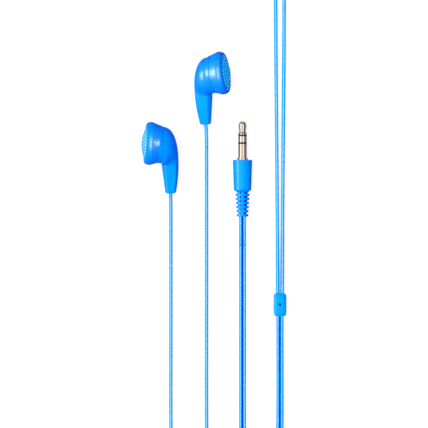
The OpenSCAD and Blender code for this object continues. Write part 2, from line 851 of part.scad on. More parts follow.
// Hank: the twin cord on edge, spiralling in on the table, climbing along one run and
// spiralling out again on top, with its runs drawn in at the waist
function loop_r(i) = fold_r - loop_step * min(i, 2 * turn_ring - i) / loop_rings;
function loop_level(i) =
    let (share = max(0, min(1, (i - climb_ring) / run_rings)))
    cord_d + layer_rise * (1 - cos(180 * share)) / 2;
function run_point(i, share, side) =
    let (y = side * run_half * (1 - 2 * share), drawn = pow(cos(90 * y / run_half), 2))
    [side * (loop_r(i) - waist_draw * drawn), y, loop_level(i) + waist_lift * drawn];
function fold_point(i, share, side) =
    let (t = 180 * share)
    [side * loop_r(i) * cos(t), -side * (run_half + loop_r(i) * sin(t)), loop_level(i)];
function hank_point(i) =
    let (half = floor(2 * i / loop_rings), k = i - half * loop_rings / 2, side = half % 2 == 0 ? 1 : -1)
    [hank_x, hank_y, 0]
    + (k < run_rings ? run_point(i, k / run_rings, side) : fold_point(i, (k - run_rings) / fold_rings, side));
hank_path = concat([hank_in], [for (i = [0 : hank_rings]) hank_point(i)], [hank_out]);

// Least gap between loops, measured on points: side by side the cord is one diameter
// wide and two diameters tall
function cord_space(v) =
    let (flat = norm([v.x, v.y]) - cord_d, tall = abs(v.z) - 2 * cord_d)
    max(flat, tall);
hank_gap = min([
    for (i = [0 : hank_rings - run_rings])
    for (j = [i + run_rings : hank_rings])
    cord_space(hank_point(i) - hank_point(j))
]);
echo(hank_gap = hank_gap);

module trunk_hank() {
    color(cord_blue)
        capped(swept(hank_path, [for (p = hank_path) 90], cord_d, cord_d / 2, hank_sides));
}

// Tie: a flat band round the waist of the hank
module hank_tie() {
    waist = [for (i = [run_rings / 2 : loop_rings / 2 : hank_rings]) hank_point(i)];
    spread = waist_draw * tie_w / (2 * run_half);
    low = min([for (p = waist) p.x]) - cord_d / 2 - spread - tie_gap;
    high = max([for (p = waist) p.x]) + cord_d / 2 + spread + tie_gap;
    top = max([for (p = waist) p.z]) + cord_d + tie_gap;
    middle = [(low + high) / 2, (tie_t + top) / 2];
    corner = cord_d;
    color(black_plastic)
        translate([0, hank_y + tie_w / 2, 0])
            rotate([90, 0, 0])
                linear_extrude(tie_w)
                    translate(middle)
                        difference() {
                            rounded_rect(high - low + 2 * tie_t, top + tie_t, corner);
                            rounded_rect(high - low, top - tie_t, corner - tie_t);
                        }
}

// Splitter: a rounded block with two cord holes above, a twin hole below and a dimple on top
module splitter_block() {
    intersection() {
        linear_extrude(splitter_t, center = true)
            rounded_rect(splitter_w, splitter_l, splitter_round);
        rotate([90, 0, 0])
            linear_extrude(splitter_l, center = true)
                rounded_rect(splitter_w, splitter_t, splitter_round);
        rotate([90, 0, 90])
            linear_extrude(splitter_w, center = true)
                rounded_rect(splitter_l, splitter_t, splitter_round);
    }
}

module y_splitter() {
    hole = cord_d + 2 * cord_gap;
    color(housing_blue)
        translate([splitter_x, splitter_top - splitter_l / 2, splitter_z])
            difference() {
                splitter_block();
                for (s = [-1, 1])
                    translate([s * branch_gap / 2, splitter_l / 2 - splitter_socket, 0])
                        rotate([-90, 0, 0])
                            cylinder(d = hole, h = splitter_socket + eps, $fn = small_fn);
                translate([0, -splitter_l / 2 + splitter_socket, 0])
                    rotate([90, 0, 0])
                        linear_extrude(splitter_socket + eps)
                            rounded_rect(hole + cord_d, hole, hole / 2 - eps);
                translate([0, 0, splitter_t / 2 - dimple_depth])
                    cylinder(d = dimple_d, h = dimple_depth + eps, $fn = small_fn);
            }
}

// Plug contacts, from the collar to the tip
sleeve_top = collar_t + plug_len - tip_len - ring_len - 2 * insulator_len;
ring_low = sleeve_top + insulator_len;
ring_top = ring_low + ring_len;
tip_low = ring_top + insulator_len;
tip_top = tip_low + tip_len;
tail_r = rod_r + 0.7;
tail_len = core_len * 0.6;

module plug_tip() {
    nose_low = tip_low + tip_len * 0.6;
    nose_end = 0.55;
    color(nickel)
        on_plug() {
            rotate_extrude()
                polygon([
                    [0, tip_low], [plug_r, tip_low], [plug_r, tip_low + 0.4], [waist_r, tip_low + 1.1],
                    [waist_r, tip_low + 1.9], [nose_r, nose_low], [nose_r, nose_low + 0.4],
                    [nose_end, tip_top - 0.15], [nose_end - 0.2, tip_top], [0, tip_top]
                ]);
            translate([0, 0, -core_len * 0.8])
                cylinder(r = rod_r, h = tip_low + core_len * 0.8 + eps);
        }
}

module tip_insulator() {
    color(black_plastic)
        on_plug()
            tube(plug_r, rod_r + fit_gap, ring_top, tip_low);
}

module plug_ring() {
    color(nickel)
        on_plug()
            tube(plug_r, rod_r + fit_gap, ring_low, ring_top);
}

module ring_insulator() {
    color(black_plastic)
        on_plug()
            tube(plug_r, rod_r + fit_gap, sleeve_top, ring_low);
}

// Sleeve: the barrel, its collar and a tail that is held in the handle
module plug_sleeve() {
    color(nickel)
        on_plug()
            difference() {
                union() {
                    cylinder(r = plug_r, h = sleeve_top);
                    cylinder(r1 = collar_r, r2 = collar_r - 0.15, h = collar_t);
                    translate([0, 0, -tail_len])
                        cylinder(r = tail_r, h = tail_len + eps);
                }
                translate([0, 0, -tail_len - eps])
                    cylinder(r = rod_r + fit_gap, h = tail_len + sleeve_top + 2 * eps);
            }
}

module plug_core() {
    color(frame_white)
        on_plug()
            difference() {
                translate([0, 0, -core_len])
                    cylinder(r = core_r, h = core_len);
                translate([0, 0, -tail_len])
                    cylinder(r = tail_r + fit_gap, h = tail_len + eps);
                translate([0, 0, -core_len * 0.8 - fit_gap])
                    cylinder(r = rod_r + fit_gap, h = core_len);
            }
}

// Handle and strain relief in one moulding: ribs on a tapering core, with webs that
// bridge the slots in turn across and along
function rib_radius(i) = rib_r + (rib_end_r - rib_r) * i / (rib_count - 1);
function rib_top(i) = -relief_start - relief_gap - i * rib_pitch;

module relief_ribs() {
    for (i = [0 : rib_count - 1])
        translate([0, 0, rib_top(i) - rib_t])
            cylinder(r1 = rib_radius(i) - 0.1, r2 = rib_radius(i), h = rib_t);
}

module relief_webs() {
    for (i = [0 : rib_count - 1])
        for (s = [-1, 1])
            rotate([0, 0, 90 * (i % 2) + 45])
                translate([s * (rib_radius(i) - slot_depth / 2 - 0.2), 0, rib_top(i) + relief_gap / 2])
                    cube([slot_depth + 0.2, web_w, relief_gap + 2 * eps], center = true);
}

module plug_handle() {
    edge = 0.3;
    hole = cord_d + 2 * cord_gap;
    color(boot_blue)
        on_plug()
            difference() {
                union() {
                    rotate_extrude()
                        polygon([
                            [0, 0], [handle_r - edge, 0], [handle_r, -edge], [handle_back_r, -handle_len],
                            [rib_r - slot_depth + edge, -relief_start],
                            [rib_r - slot_depth, -relief_start - edge],
                            [rib_end_r - slot_depth, -relief_start - relief_len],
                            [0, -relief_start - relief_len]
                        ]);
                    relief_ribs();
                    relief_webs();
                }
                translate([0, 0, -core_len - fit_gap])
                    cylinder(r = core_r + fit_gap, h = core_len + fit_gap + eps);
                translate([0, 0, -relief_start - relief_len - eps])
                    linear_extrude(rib_pitch + eps)
                        rounded_rect(hole + cord_d, hole, hole / 2 - eps);
            }
}

left_front_ring();
left_grille();
left_dust_cloth();
left_spacer_ring();
left_surround();
left_dome();
left_voice_coil();
left_top_plate();
left_magnet();
left_yoke();
left_driver_frame();
left_vent_felt();
left_terminal_board();
left_inner_leads();
left_rear_housing();
left_stem_boot();
left_crimp_sleeve();
right_front_ring();
right_grille();
right_dust_cloth();
right_spacer_ring();
right_surround();
right_dome();
right_voice_coil();
right_top_plate();
right_magnet();
right_yoke();
right_driver_frame();
right_vent_felt();
right_terminal_board();
right_inner_leads();
right_rear_housing();
right_stem_boot();
right_crimp_sleeve();
left_cord();
right_cord();
y_splitter();
trunk_lead();
trunk_hank();
plug_lead();
hank_tie();
plug_tip();
tip_insulator();
plug_ring();
ring_insulator();
plug_sleeve();
plug_core();
plug_handle();
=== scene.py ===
# %% [markdown]
# # Blue wired earphones
# This lesson dresses a finished set of solids: two ear-buds, their thin cords, a splitter, a twin cord
# and a plug. The solids hold the sizes, so they are loaded first and never moved. Everything made here is
# laid over them in metres, in the same frame: +Z is up from the table and +Y runs along the stems.

# %% Load the solids
import math

import bmesh
import bpy
from mathutils import Matrix, Vector
from mathutils.geometry import delaunay_2d_cdt


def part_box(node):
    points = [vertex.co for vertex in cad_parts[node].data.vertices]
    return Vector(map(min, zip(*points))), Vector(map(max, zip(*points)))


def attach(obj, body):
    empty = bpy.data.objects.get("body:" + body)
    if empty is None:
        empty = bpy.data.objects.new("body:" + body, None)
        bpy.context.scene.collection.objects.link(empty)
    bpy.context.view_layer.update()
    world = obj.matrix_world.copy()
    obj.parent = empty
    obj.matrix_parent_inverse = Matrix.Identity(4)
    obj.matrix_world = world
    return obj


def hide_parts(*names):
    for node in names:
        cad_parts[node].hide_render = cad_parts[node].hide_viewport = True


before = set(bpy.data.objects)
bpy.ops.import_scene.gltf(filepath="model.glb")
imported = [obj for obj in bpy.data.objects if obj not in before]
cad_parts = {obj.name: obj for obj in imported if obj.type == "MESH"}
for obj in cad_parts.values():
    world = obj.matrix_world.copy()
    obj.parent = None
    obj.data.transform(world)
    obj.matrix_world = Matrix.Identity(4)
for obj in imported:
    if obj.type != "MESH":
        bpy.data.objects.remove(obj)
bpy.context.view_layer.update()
MM = 0.001
QUARTER = math.pi / 2
ROOT = "earphones"

# %% [markdown]
# ## Camera
# The picture looks straight down on the table. A short lens would spread the ear-buds' tops outwards, and
# an orthographic camera would be flat in every other view. A long lens from two metres up is the middle
# way: nearly parallel rays, but still a perspective camera.

# %% Camera
VIEW_WIDTH = 171.2 * MM
VIEW_CENTRE = (11.2 * MM, -36.64 * MM)
SHARP_LEVEL = 4 * MM
CAMERA_RISE = 2.0

camera = bpy.data.objects.new("camera", bpy.data.cameras.new("camera"))
camera.data.sensor_fit = "HORIZONTAL"
camera.data.sensor_width = 36
camera.data.lens = camera.data.sensor_width * CAMERA_RISE / VIEW_WIDTH
camera.location = (*VIEW_CENTRE, SHARP_LEVEL + CAMERA_RISE)
camera.data.clip_end = 50
bpy.context.scene.collection.objects.link(camera)
bpy.context.scene.camera = camera
bpy.context.scene.view_settings.view_transform = "Standard"
print("lens in mm:", round(camera.data.lens))

# %% [markdown]
# ## Where an ear-bud lies
# Both ear-buds have one shape, and only their lie on the table differs. So each is drawn once, in
# millimetres, round its inside corner: the stem runs to -Y and the face looks to +X. A matrix then lays
# it down. Its turn is known, and its place is read from the frame: the magnet is a plain disc, so the
# middle of its box is a point that is known in both frames.

# %% Shape of an ear-bud, in millimetres
LEAN = math.radians(6)
ELBOW_R = 0.4
SEAM_R = 7.65
COLLAR = 1.6
COLLAR_DROP = 0.65
STEM_W = 6.8
STEM_D = 6.2
STEM_END_D = 3.6
FRONT_TAPER = 1.4
BACK_TAPER = 1.2
STEM_SQUARE = 1.2
BOOT_LEN = 12.2
HOUSING_ROUND = 2.12
LIP_DEPTH = 2
CREST_W = 1.2
FLANK_W = 2
FRONT_LEN = LIP_DEPTH + CREST_W + FLANK_W
MAGNET_MIDDLE = FRONT_LEN - 3.92
CORD_D = 1.4
CORD_X = -(2 * ELBOW_R + FRONT_TAPER + STEM_W - BACK_TAPER) / 2
CRIMP_TOP = -2.3

LEAN_UP = Vector((-math.sin(LEAN), math.cos(LEAN), 0))
LEAN_FRONT = Vector((math.cos(LEAN), math.sin(LEAN), 0))
ELBOW_CENTRE = LEAN_UP * (ELBOW_R + SEAM_R)
SEAM_CENTRE = ELBOW_CENTRE + LEAN_FRONT * COLLAR
print("face to seam in mm:", FRONT_LEN)

# %% How each ear-bud is laid down
LIES = {
    "left": {"hand": -1, "spin": 0.6, "tilt": 17.25, "roll": 4.2},
    "right": {"hand": 1, "spin": 4.3, "tilt": 14.25, "roll": 12},
}


def middle(node):
    low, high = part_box(node)
    return (Vector(low) + Vector(high)) / 2


def lay(side):
    lie = LIES[side]
    turn = (
        Matrix.Rotation(math.radians(lie["spin"]), 4, "Z")
        @ Matrix.Rotation(math.radians(lie["tilt"]), 4, "X")
        @ Matrix.Diagonal((lie["hand"], 1, 1, 1))
        @ Matrix.Rotation(math.radians(-lie["roll"]), 4, "Y")
        @ Matrix.Scale(MM, 4)
    )
    magnet = SEAM_CENTRE + LEAN_FRONT * MAGNET_MIDDLE
    return Matrix.Translation(middle(f"{side}_magnet") - turn @ magnet) @ turn


LAY = {side: lay(side) for side in LIES}
for side, matrix in LAY.items():
    print(side, "inside corner at", [round(v / MM, 2) for v in matrix.translation])

# %% [markdown]
# ## Routes of the cords
# A cord is a fixed length that lies under its own weight, so its route is a short list of chosen points,
# the same as in the solids, and a smooth curve through them. The Catmull-Rom curve is used because it
# passes through every point. What the picture doesn't show of the single cords runs out of view and comes
# back underneath. The rest of the twin cord is a tied hank below the view.

# %% A smooth line through chosen points
def smooth(points, steps):
    points = [Vector(p) for p in points]
    ends = [2 * points[0] - points[1], *points, 2 * points[-1] - points[-2]]
    line = []
    for a, b, c, d in zip(ends, ends[1:], ends[2:], ends[3:]):
        for k in range(steps):
            t = k / steps
            line.append(
                0.5 * (2 * b + (c - a) * t + (2 * a - 5 * b + 4 * c - d) * t**2
                       + (3 * b - a - 3 * c + d) * t**3)
            )
    return [*line, points[-1]]


def run(line):
    return sum((b - a).length for a, b in zip(line, line[1:]))


print("a test line of 3 points has", len(smooth([(0, 0, 0), (1, 0, 0), (1, 1, 0)], 4)), "points")

# %% Points of the single cords, in millimetres
SPLITTER_X = 37.6
SPLITTER_Z = 2.9
SPLITTER_TOP = -68.2
SPLITTER_L = 9.4
SOCKET = 1.6
BRANCH_GAP = 1.9
SINGLE_STEPS = 6
LEFT_ROUTE = [
    (-6.1, -36, 0.9), (-6.1, -42, 0.7), (-6.1, -80, 0.7), (-6.1, -119, 0.7), (-5.6, -126, 0.7),
    (-2, -134, 0.7), (6, -139.4, 0.7), (16, -141, 0.7), (26, -139.4, 0.7), (34, -134, 0.7),
    (37.8, -126, 0.7), (38.35, -119, 0.7), (38.35, -75, 0.7), (38.7, -31, 0.7), (39.3, 49, 0.7),
    (39.3, 62, 0.7), (40.6, 66, 0.7), (43.6, 67.6, 0.7), (46.8, 66, 0.7), (47.9, 62.5, 0.7),
    (46.6, 59, 0.8), (43.5, 56.6, 1.3), (40.4, 54, 2.1), (39.3, 50, 2.2), (39.2, 25, 2.2),
    (38.7, -31, 2.2), (38.6, -60, 2.4), (SPLITTER_X + BRANCH_GAP / 2, -65, SPLITTER_Z),
]
RIGHT_ROUTE = [
    (8.2, -9, 0.9), (8.2, -15, 0.7), (8.2, -60, 0.7), (8.2, -118, 0.7), (8.7, -124, 0.7),
    (11.4, -130.4, 0.7), (16.4, -134.2, 0.7), (22.5, -135.4, 0.7), (28.6, -134.2, 0.7),
    (33.6, -130.4, 0.7), (36.2, -124, 0.7), (36.85, -118, 0.7), (36.85, -75, 0.7), (36.5, -31, 0.7),
    (35.8, 49, 0.7), (35.8, 62, 0.7), (34.5, 66, 0.7), (31.5, 67.6, 0.7), (28.3, 66, 0.7),
    (27.2, 62.5, 0.7), (28.5, 59, 0.8), (31.6, 56.6, 1.3), (34.7, 54, 2.1), (35.8, 50, 2.2),
    (36, 25, 2.2), (36.5, -31, 2.2), (36.6, -60, 2.4), (SPLITTER_X - BRANCH_GAP / 2, -65, SPLITTER_Z),
]
ROUTES = {"left": (LEFT_ROUTE, 1), "right": (RIGHT_ROUTE, -1)}


def single_line(side):
    route, hand = ROUTES[side]
    in_stem = [(CORD_X, y, 0) for y in (CRIMP_TOP, -BOOT_LEN, -BOOT_LEN - 2 * CORD_D)]
    end = Vector((SPLITTER_X + hand * BRANCH_GAP / 2, SPLITTER_TOP - SOCKET, SPLITTER_Z))
    start = [LAY[side] @ Vector(p) for p in in_stem]
    return smooth([*start, *[Vector(p) * MM for p in [*route, end]]], SINGLE_STEPS)


SINGLE = {side: single_line(side) for side in ROUTES}
for side, line in SINGLE.items():
    print(side, "cord in metres:", round(run(line), 3))

# %% Points of the hank, in millimetres
HANK_X = 29
HANK_Y = -182.5
FOLD_R = 10.6
RUN_HALF = 21
LOOP_STEP = 2.05
WAIST_DRAW = 4.5
WAIST_LIFT = 0.9
LAYER_RISE = 3.3
RUN_RINGS = 4
FOLD_RINGS = 8
LOOP_RINGS = 2 * (RUN_RINGS + FOLD_RINGS)
HANK_RINGS = 88
TURN_RING = 50
CLIMB_RING = 48


def hank_point(i):
    radius = FOLD_R - LOOP_STEP * min(i, 2 * TURN_RING - i) / LOOP_RINGS
    climb = max(0, min(1, (i - CLIMB_RING) / RUN_RINGS))
    level = CORD_D + LAYER_RISE * (1 - math.cos(math.pi * climb)) / 2
    half, k = divmod(i, LOOP_RINGS / 2)
    hand = 1 if half % 2 == 0 else -1
    if k < RUN_RINGS:
        y = hand * RUN_HALF * (1 - 2 * k / RUN_RINGS)
        drawn = math.cos(QUARTER * y / RUN_HALF) ** 2
        point = (hand * (radius - WAIST_DRAW * drawn), y, level + WAIST_LIFT * drawn)
    else:
        t = math.pi * (k - RUN_RINGS) / FOLD_RINGS
        point = (hand * radius * math.cos(t), -hand * (RUN_HALF + radius * math.sin(t)), level)
    return Vector(point) + Vector((HANK_X, HANK_Y, 0))


print("loops in the hank:", round(HANK_RINGS / LOOP_RINGS, 1))

# %% Points of the twin cord's two free ends, in millimetres
HANK_LEAD = 3
EDGEWISE = 90
STRAIGHT = Vector((0, HANK_LEAD, 0))
HANK_IN = hank_point(0) + STRAIGHT
HANK_OUT = hank_point(HANK_RINGS) + STRAIGHT
TRUNK_ROUTE = [
    (37.6, -81, 2.6), (37.6, -87, 2.2), (37.6, -120, 2.2), (37.6, -134, 2.2), (37.9, -141, 1.8),
    (38.9, -149, 1.4), HANK_IN + STRAIGHT,
]
TRUNK_ROLL = [*[0] * 6, 20, 60, EDGEWISE, EDGEWISE]
PLUG_ROUTE = [
    HANK_OUT + STRAIGHT, (20.3, -150, 3.8), (21.8, -145, 2.7), (22.6, -140, 2.2), (22.6, -132, 2.2),
    (22.6, -125, 1), (22.6, -120, 0.7), (22.6, -56, 0.7), (22.6, -49, 1.3), (22.6, -43, 3.2),
]
PLUG_ROLL = [EDGEWISE, EDGEWISE, 60, 20, *[0] * 9]
print("chosen points outside the hank:", len(TRUNK_ROUTE) + len(PLUG_ROUTE))

# %% The twin cord from the splitter through the hank to the plug
PLUG_X = 22.6
PLUG_Y = -15
HANDLE_R = 3.88
RELIEF_START = 12.8
RIB_PITCH = 1.64
RIB_COUNT = 6
TWIN_STEPS = 3
PLUG_END = PLUG_Y - RELIEF_START - RIB_COUNT * RIB_PITCH

trunk_foot = SPLITTER_TOP - SPLITTER_L
trunk_start = [(SPLITTER_X, trunk_foot + SOCKET, SPLITTER_Z), (SPLITTER_X, trunk_foot, SPLITTER_Z)]
plug_mouth = [(PLUG_X, PLUG_END, HANDLE_R), (PLUG_X, PLUG_END + RIB_PITCH, HANDLE_R)]
twin_points = [
    *trunk_start, *TRUNK_ROUTE, HANK_IN,
    *[hank_point(i) for i in range(HANK_RINGS + 1)],
    HANK_OUT, *PLUG_ROUTE, *plug_mouth,
]
twin_rolls = [*TRUNK_ROLL, *[EDGEWISE] * (HANK_RINGS + 1), *PLUG_ROLL]
twin_line = smooth([Vector(p) * MM for p in twin_points], TWIN_STEPS)
for place in twin_line:
    place.z = max(place.z, CORD_D / 2 * MM)
twin_turns = [v.x for v in smooth([Vector((r, 0, 0)) for r in twin_rolls], TWIN_STEPS)]
print("twin cord in metres:", round(run(twin_line), 3), "points:", len(twin_line))

# %% [markdown]
# ## Turning points into pieces
# Every shape here is a set of rings of points, joined ring to ring. One helper joins the rings and
# another makes the mesh an object: it merges doubled points, turns all faces outwards (the left ear-bud
# is a mirror image, which would leave them inside out), shades it smooth and keeps true edges sharp. The
# piece then rides its body and stands for the solids that it covers.

# %% Helpers for pieces
def join_rings(rings, closed=False, capped=False):
    count = len(rings[0])
    pairs = [(i, i + 1) for i in range(len(rings) - 1)]
    if closed:
        pairs.append((len(rings) - 1, 0))
    faces = []
    for a, b in pairs:
        for j in range(count):
            k = (j + 1) % count
            faces.append((a * count + j, b * count + j, b * count + k, a * count + k))
    if capped:
        faces.append(tuple(range(count)))
        faces.append(tuple((len(rings) - 1) * count + j for j in range(count)))
    return [p for ring in rings for p in ring], faces


def add_piece(name, points, faces, slot, nodes, sharp=32):
    mesh = bpy.data.meshes.new(name)
    mesh.from_pydata([tuple(p) for p in points], [], faces)
    work = bmesh.new()
    work.from_mesh(mesh)
    bmesh.ops.remove_doubles(work, verts=work.verts, dist=1e-7)
    bmesh.ops.recalc_face_normals(work, faces=work.faces)
    work.to_mesh(mesh)
    work.free()
    mesh.shade_smooth()
    mesh.set_sharp_from_angle(angle=math.radians(sharp))
    made = bpy.data.objects.new(name, mesh)
    bpy.context.scene.collection.objects.link(made)
    return settle(made, nodes)


def settle(made, nodes):
    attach(made, ROOT)
    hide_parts(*nodes)
    print(made.name, "stands for", ", ".join(nodes))
    return made


print("pieces ride the body", ROOT)

# %% [markdown]
# ## Single cords
# The thin cords are round PVC over fine wire. A curve with a round bevel is the plainest way to make one:
# the line is the cord's middle, and every point carries the cord's radius, which scales a bevel of one.
# Left at their default of one metre, the points' radii would swell the curve's box.

# %% Single cords
SINGLES = {}
for side, line in SINGLE.items():
    curve = bpy.data.curves.new(f"{side}_single_cord", "CURVE")
    curve.dimensions = "3D"
    curve.bevel_depth = 1
    curve.bevel_resolution = 5
    curve.use_fill_caps = True
    spline = curve.splines.new("POLY")
    spline.points.add(len(line) - 1)
    for point, place in zip(spline.points, line):
        point.co = (*place, 1)
        point.radius = CORD_D / 2 * MM
    spline.use_smooth = True
    made = bpy.data.objects.new(curve.name, curve)
    bpy.context.scene.collection.objects.link(made)
    SINGLES[side] = settle(made, [f"{side}_cord"])

# %% [markdown]
# ## Twin cord
# Below the splitter the two cords are moulded side by side, so the section is a figure of eight with a
# groove along the middle. A bevelled curve could carry that section, but it would twist it freely at
# bends. Here each ring gets a turn of its own instead: flat on the table, and on edge for the hank, where
# it bends most easily.

# %% Twin cord
LOBE_POINTS = 15
LOBE_OPEN = 12
TWIN_GROOVE = 0.16


def figure_eight():
    section = []
    for hand in (1, -1):
        for j in range(LOBE_POINTS):
            t = math.radians(-180 + LOBE_OPEN + (360 - 2 * LOBE_OPEN) * j / (LOBE_POINTS - 1))
            across = (CORD_D + TWIN_GROOVE) / 2 + (CORD_D - TWIN_GROOVE) / 2 * math.cos(t)
            section.append((hand * across, hand * CORD_D / 2 * math.sin(t)))
    return section


def twin_rings(line, turns):
    section = figure_eight()
    rings = []
    for i, (place, turn) in enumerate(zip(line, turns)):
        way = (line[min(i + 1, len(line) - 1)] - line[max(i - 1, 0)]).normalized()
        across = Vector((0, 0, 1)).cross(way).normalized()
        up = way.cross(across)
        c, s = math.cos(math.radians(turn)), math.sin(math.radians(turn))
        rings.append([place + (across * (w * c - h * s) + up * (w * s + h * c)) * MM for w, h in section])
    return rings


twin = add_piece(
    "twin_cord", *join_rings(twin_rings(twin_line, twin_turns), capped=True), "cord_pvc",
    ["trunk_lead", "trunk_hank", "plug_lead"], sharp=50,
)

# %% [markdown]
# ## Front ring
# The round rim at the ear is a turned shape: a rounded lip at the face, a fat crest and a flank that
# slopes down to the seam. So it is a profile spun round the driver's axis, as on a lathe. The flank is
# kept nearly straight, because a cone shows a lamp as one broad patch and a curve draws it out to a line.
# Inside are the grille's seat, the ledge under it and the bore for the driver.

# %% Profile of the front ring
BORE_R = 7.05
LIP_R = 7.6
RIM_R = 8.6
FLANK_R = 8.3
FLANK_BULGE = 0.03
SEAM_GROOVE = 0.24
LEDGE_R = 6.3
CLOTH_LOW = FRONT_LEN - 0.85
LEDGE_LOW = CLOTH_LOW - 0.5
SEAT_R = 7.1
LIP_STEPS = 16
CREST_STEPS = 12
FLANK_STEPS = 12
GROOVE_STEPS = 4
RIM_SIDES = 96
DRIVER = Matrix((
    (0, LEAN_UP.x, LEAN_FRONT.x, SEAM_CENTRE.x),
    (0, LEAN_UP.y, LEAN_FRONT.y, SEAM_CENTRE.y),
    (-1, 0, 0, 0),
    (0, 0, 0, 1),
))


def shares(count):
    return [i / count for i in range(count + 1)]


def rim_profile():
    inside = [(BORE_R, 0), (BORE_R, LEDGE_LOW), (LEDGE_R, LEDGE_LOW), (LEDGE_R, CLOTH_LOW),
              (SEAT_R, CLOTH_LOW), (SEAT_R, FRONT_LEN)]
    lip = [(LIP_R + (RIM_R - LIP_R) * math.sin(QUARTER * s),
            FRONT_LEN - LIP_DEPTH * (1 - math.cos(QUARTER * s))) for s in shares(LIP_STEPS)]
    crest = [(FLANK_R + (RIM_R - FLANK_R) * math.cos(QUARTER * s), FLANK_W + CREST_W * (1 - s))
             for s in shares(CREST_STEPS)[1:]]
    flank = [(FLANK_R + (SEAM_R - FLANK_R) * s + FLANK_BULGE * 4 * s * (1 - s),
              FLANK_W + (SEAM_GROOVE - FLANK_W) * s) for s in shares(FLANK_STEPS)[1:]]
    groove = [(SEAM_R - SEAM_GROOVE * (1 - math.cos(QUARTER * s)),
               SEAM_GROOVE * (1 - math.sin(QUARTER * s))) for s in shares(GROOVE_STEPS)[1:]]
    return [*inside, *lip, *crest, *flank, *groove]


def spin(profile, place, sides):
    rings = []
    for r, level in profile:
        turns = [2 * math.pi * j / sides for j in range(sides)]
        rings.append([place @ Vector((r * math.cos(t), r * math.sin(t), level)) for t in turns])
    return rings


print("points in the rim's profile:", len(rim_profile()))

# %% Front rings
RIMS = {}
for side in LIES:
    rings = spin(rim_profile(), LAY[side] @ DRIVER, RIM_SIDES)
    RIMS[side] = add_piece(
        f"{side}_rim", *join_rings(rings, closed=True), "housing_plastic", [f"{side}_front_ring"]
    )

# %% [markdown]
# ## Grille
# The grille is a thin domed disc with 91 punched holes: one in the middle, then rings of six, twelve and
# so on. Cutting 91 cylinders out with booleans is slow and leaves bad faces. Instead the disc is drawn
# flat, with every hole as two circles, and Blender's Delaunay function fills it with triangles. Triangles
# inside a hole are left out, the rest is bulged and given a back face. The gap between the two circles
# becomes the rounded edge that a punch leaves.

# %% Sizes and holes of the grille, in millimetres
GRILLE_R = 7.05
DOME_R = 6.7
GRILLE_T = 0.5
GRILLE_RISE = 1.7
FLANGE_TOP = FRONT_LEN - 0.2
HOLE_R = 0.4
HOLE_EDGE = 0.1
HOLE_SINK = 0.08
HOLE_PITCH = 1.25
HOLE_RINGS = 5
FIRST_RING_HOLES = 6
HOLE_SIDES = 20


def circle(r, sides, x=0.0, y=0.0):
    turns = [2 * math.pi * j / sides for j in range(sides)]
    return [Vector((x + r * math.cos(t), y + r * math.sin(t))) for t in turns]


def hole_centres():
    centres = []
    for k in range(HOLE_RINGS + 1):
        centres += circle(k * HOLE_PITCH, max(1, FIRST_RING_HOLES * k))
    return centres


HOLE_CENTRES = hole_centres()
print("holes:", len(HOLE_CENTRES))

# %% Flat pattern of the grille
GRILLE_SIDES = 120
INSIDE_HOLE = 0.97 * HOLE_R
HULL_TRIANGLES = 0
SAME_POINT = 1e-5


def flat_grille():
    loops = [circle(GRILLE_R, GRILLE_SIDES), circle(DOME_R, GRILLE_SIDES)]
    for centre in HOLE_CENTRES:
        loops += [circle(HOLE_R + HOLE_EDGE, HOLE_SIDES, *centre), circle(HOLE_R, HOLE_SIDES, *centre)]
    points, edges = [], []
    for loop in loops:
        first = len(points)
        points += loop
        edges += [(first + j, first + (j + 1) % len(loop)) for j in range(len(loop))]
    filled = delaunay_2d_cdt(points, edges, [], HULL_TRIANGLES, SAME_POINT)
    return filled[0], filled[2]


def nearest_hole(point):
    return min((point - centre).length for centre in HOLE_CENTRES)


flat_points, flat_faces = flat_grille()
solid_faces = [
    face for face in flat_faces
    if nearest_hole(sum((flat_points[i] for i in face), Vector((0, 0))) / len(face)) > INSIDE_HOLE
]
print("faces kept:", len(solid_faces), "of", len(flat_faces))

# %% Grilles
BALL_R = (DOME_R**2 + GRILLE_RISE**2) / (2 * GRILLE_RISE)


def grille_level(point):
    r = min(point.length, DOME_R)
    level = FLANGE_TOP + GRILLE_RISE - BALL_R + math.sqrt(BALL_R**2 - r**2)
    return level - (HOLE_SINK if nearest_hole(point) < HOLE_R + HOLE_EDGE / 2 else 0)


def grille_shell(place):
    levels = [grille_level(p) for p in flat_points]
    front = [place @ Vector((p.x, p.y, z)) for p, z in zip(flat_points, levels)]
    back = [place @ Vector((p.x, p.y, z - GRILLE_T)) for p, z in zip(flat_points, levels)]
    count = len(front)
    faces = [tuple(f) for f in solid_faces] + [tuple(i + count for i in reversed(f)) for f in solid_faces]
    uses = {}
    for face in solid_faces:
        for a, b in zip(face, [*face[1:], face[0]]):
            uses.setdefault(frozenset((a, b)), []).append((a, b))
    walls = [edge[0] for edge in uses.values() if len(edge) == 1]
    return front + back, faces + [(b, a, a + count, b + count) for a, b in walls]


GRILLES = {}
for side in LIES:
    shell = grille_shell(LAY[side] @ DRIVER)
    GRILLES[side] = add_piece(
        f"{side}_sound_grille", *shell, "grille_mesh", [f"{side}_grille"], sharp=40
    )

# %% [markdown]
# ## Rear housing
# Behind the seam the round shell turns through a right angle and narrows into the stem. A sphere joined
# to a cone would leave a crease there. A loft doesn't: oval rings swing about the inside corner, round at
# the seam and squarer and smaller towards the stem. It is a real shell, so the same rings return inside,
# one wall in.

# %% An oval ring, round or squarish
OVAL_SIDES = 72
INTO_TABLE = Vector((0, 0, -1))


def signed_power(value, power):
    return math.copysign(abs(value) ** power, value)


def oval(centre, a, b, half_a, half_b, square):
    ring = []
    for j in range(OVAL_SIDES):
        t = 2 * math.pi * j / OVAL_SIDES
        ring.append(centre + a * half_a * signed_power(math.cos(t), 2 / square)
                    + b * half_b * signed_power(math.sin(t), 2 / square))
    return ring


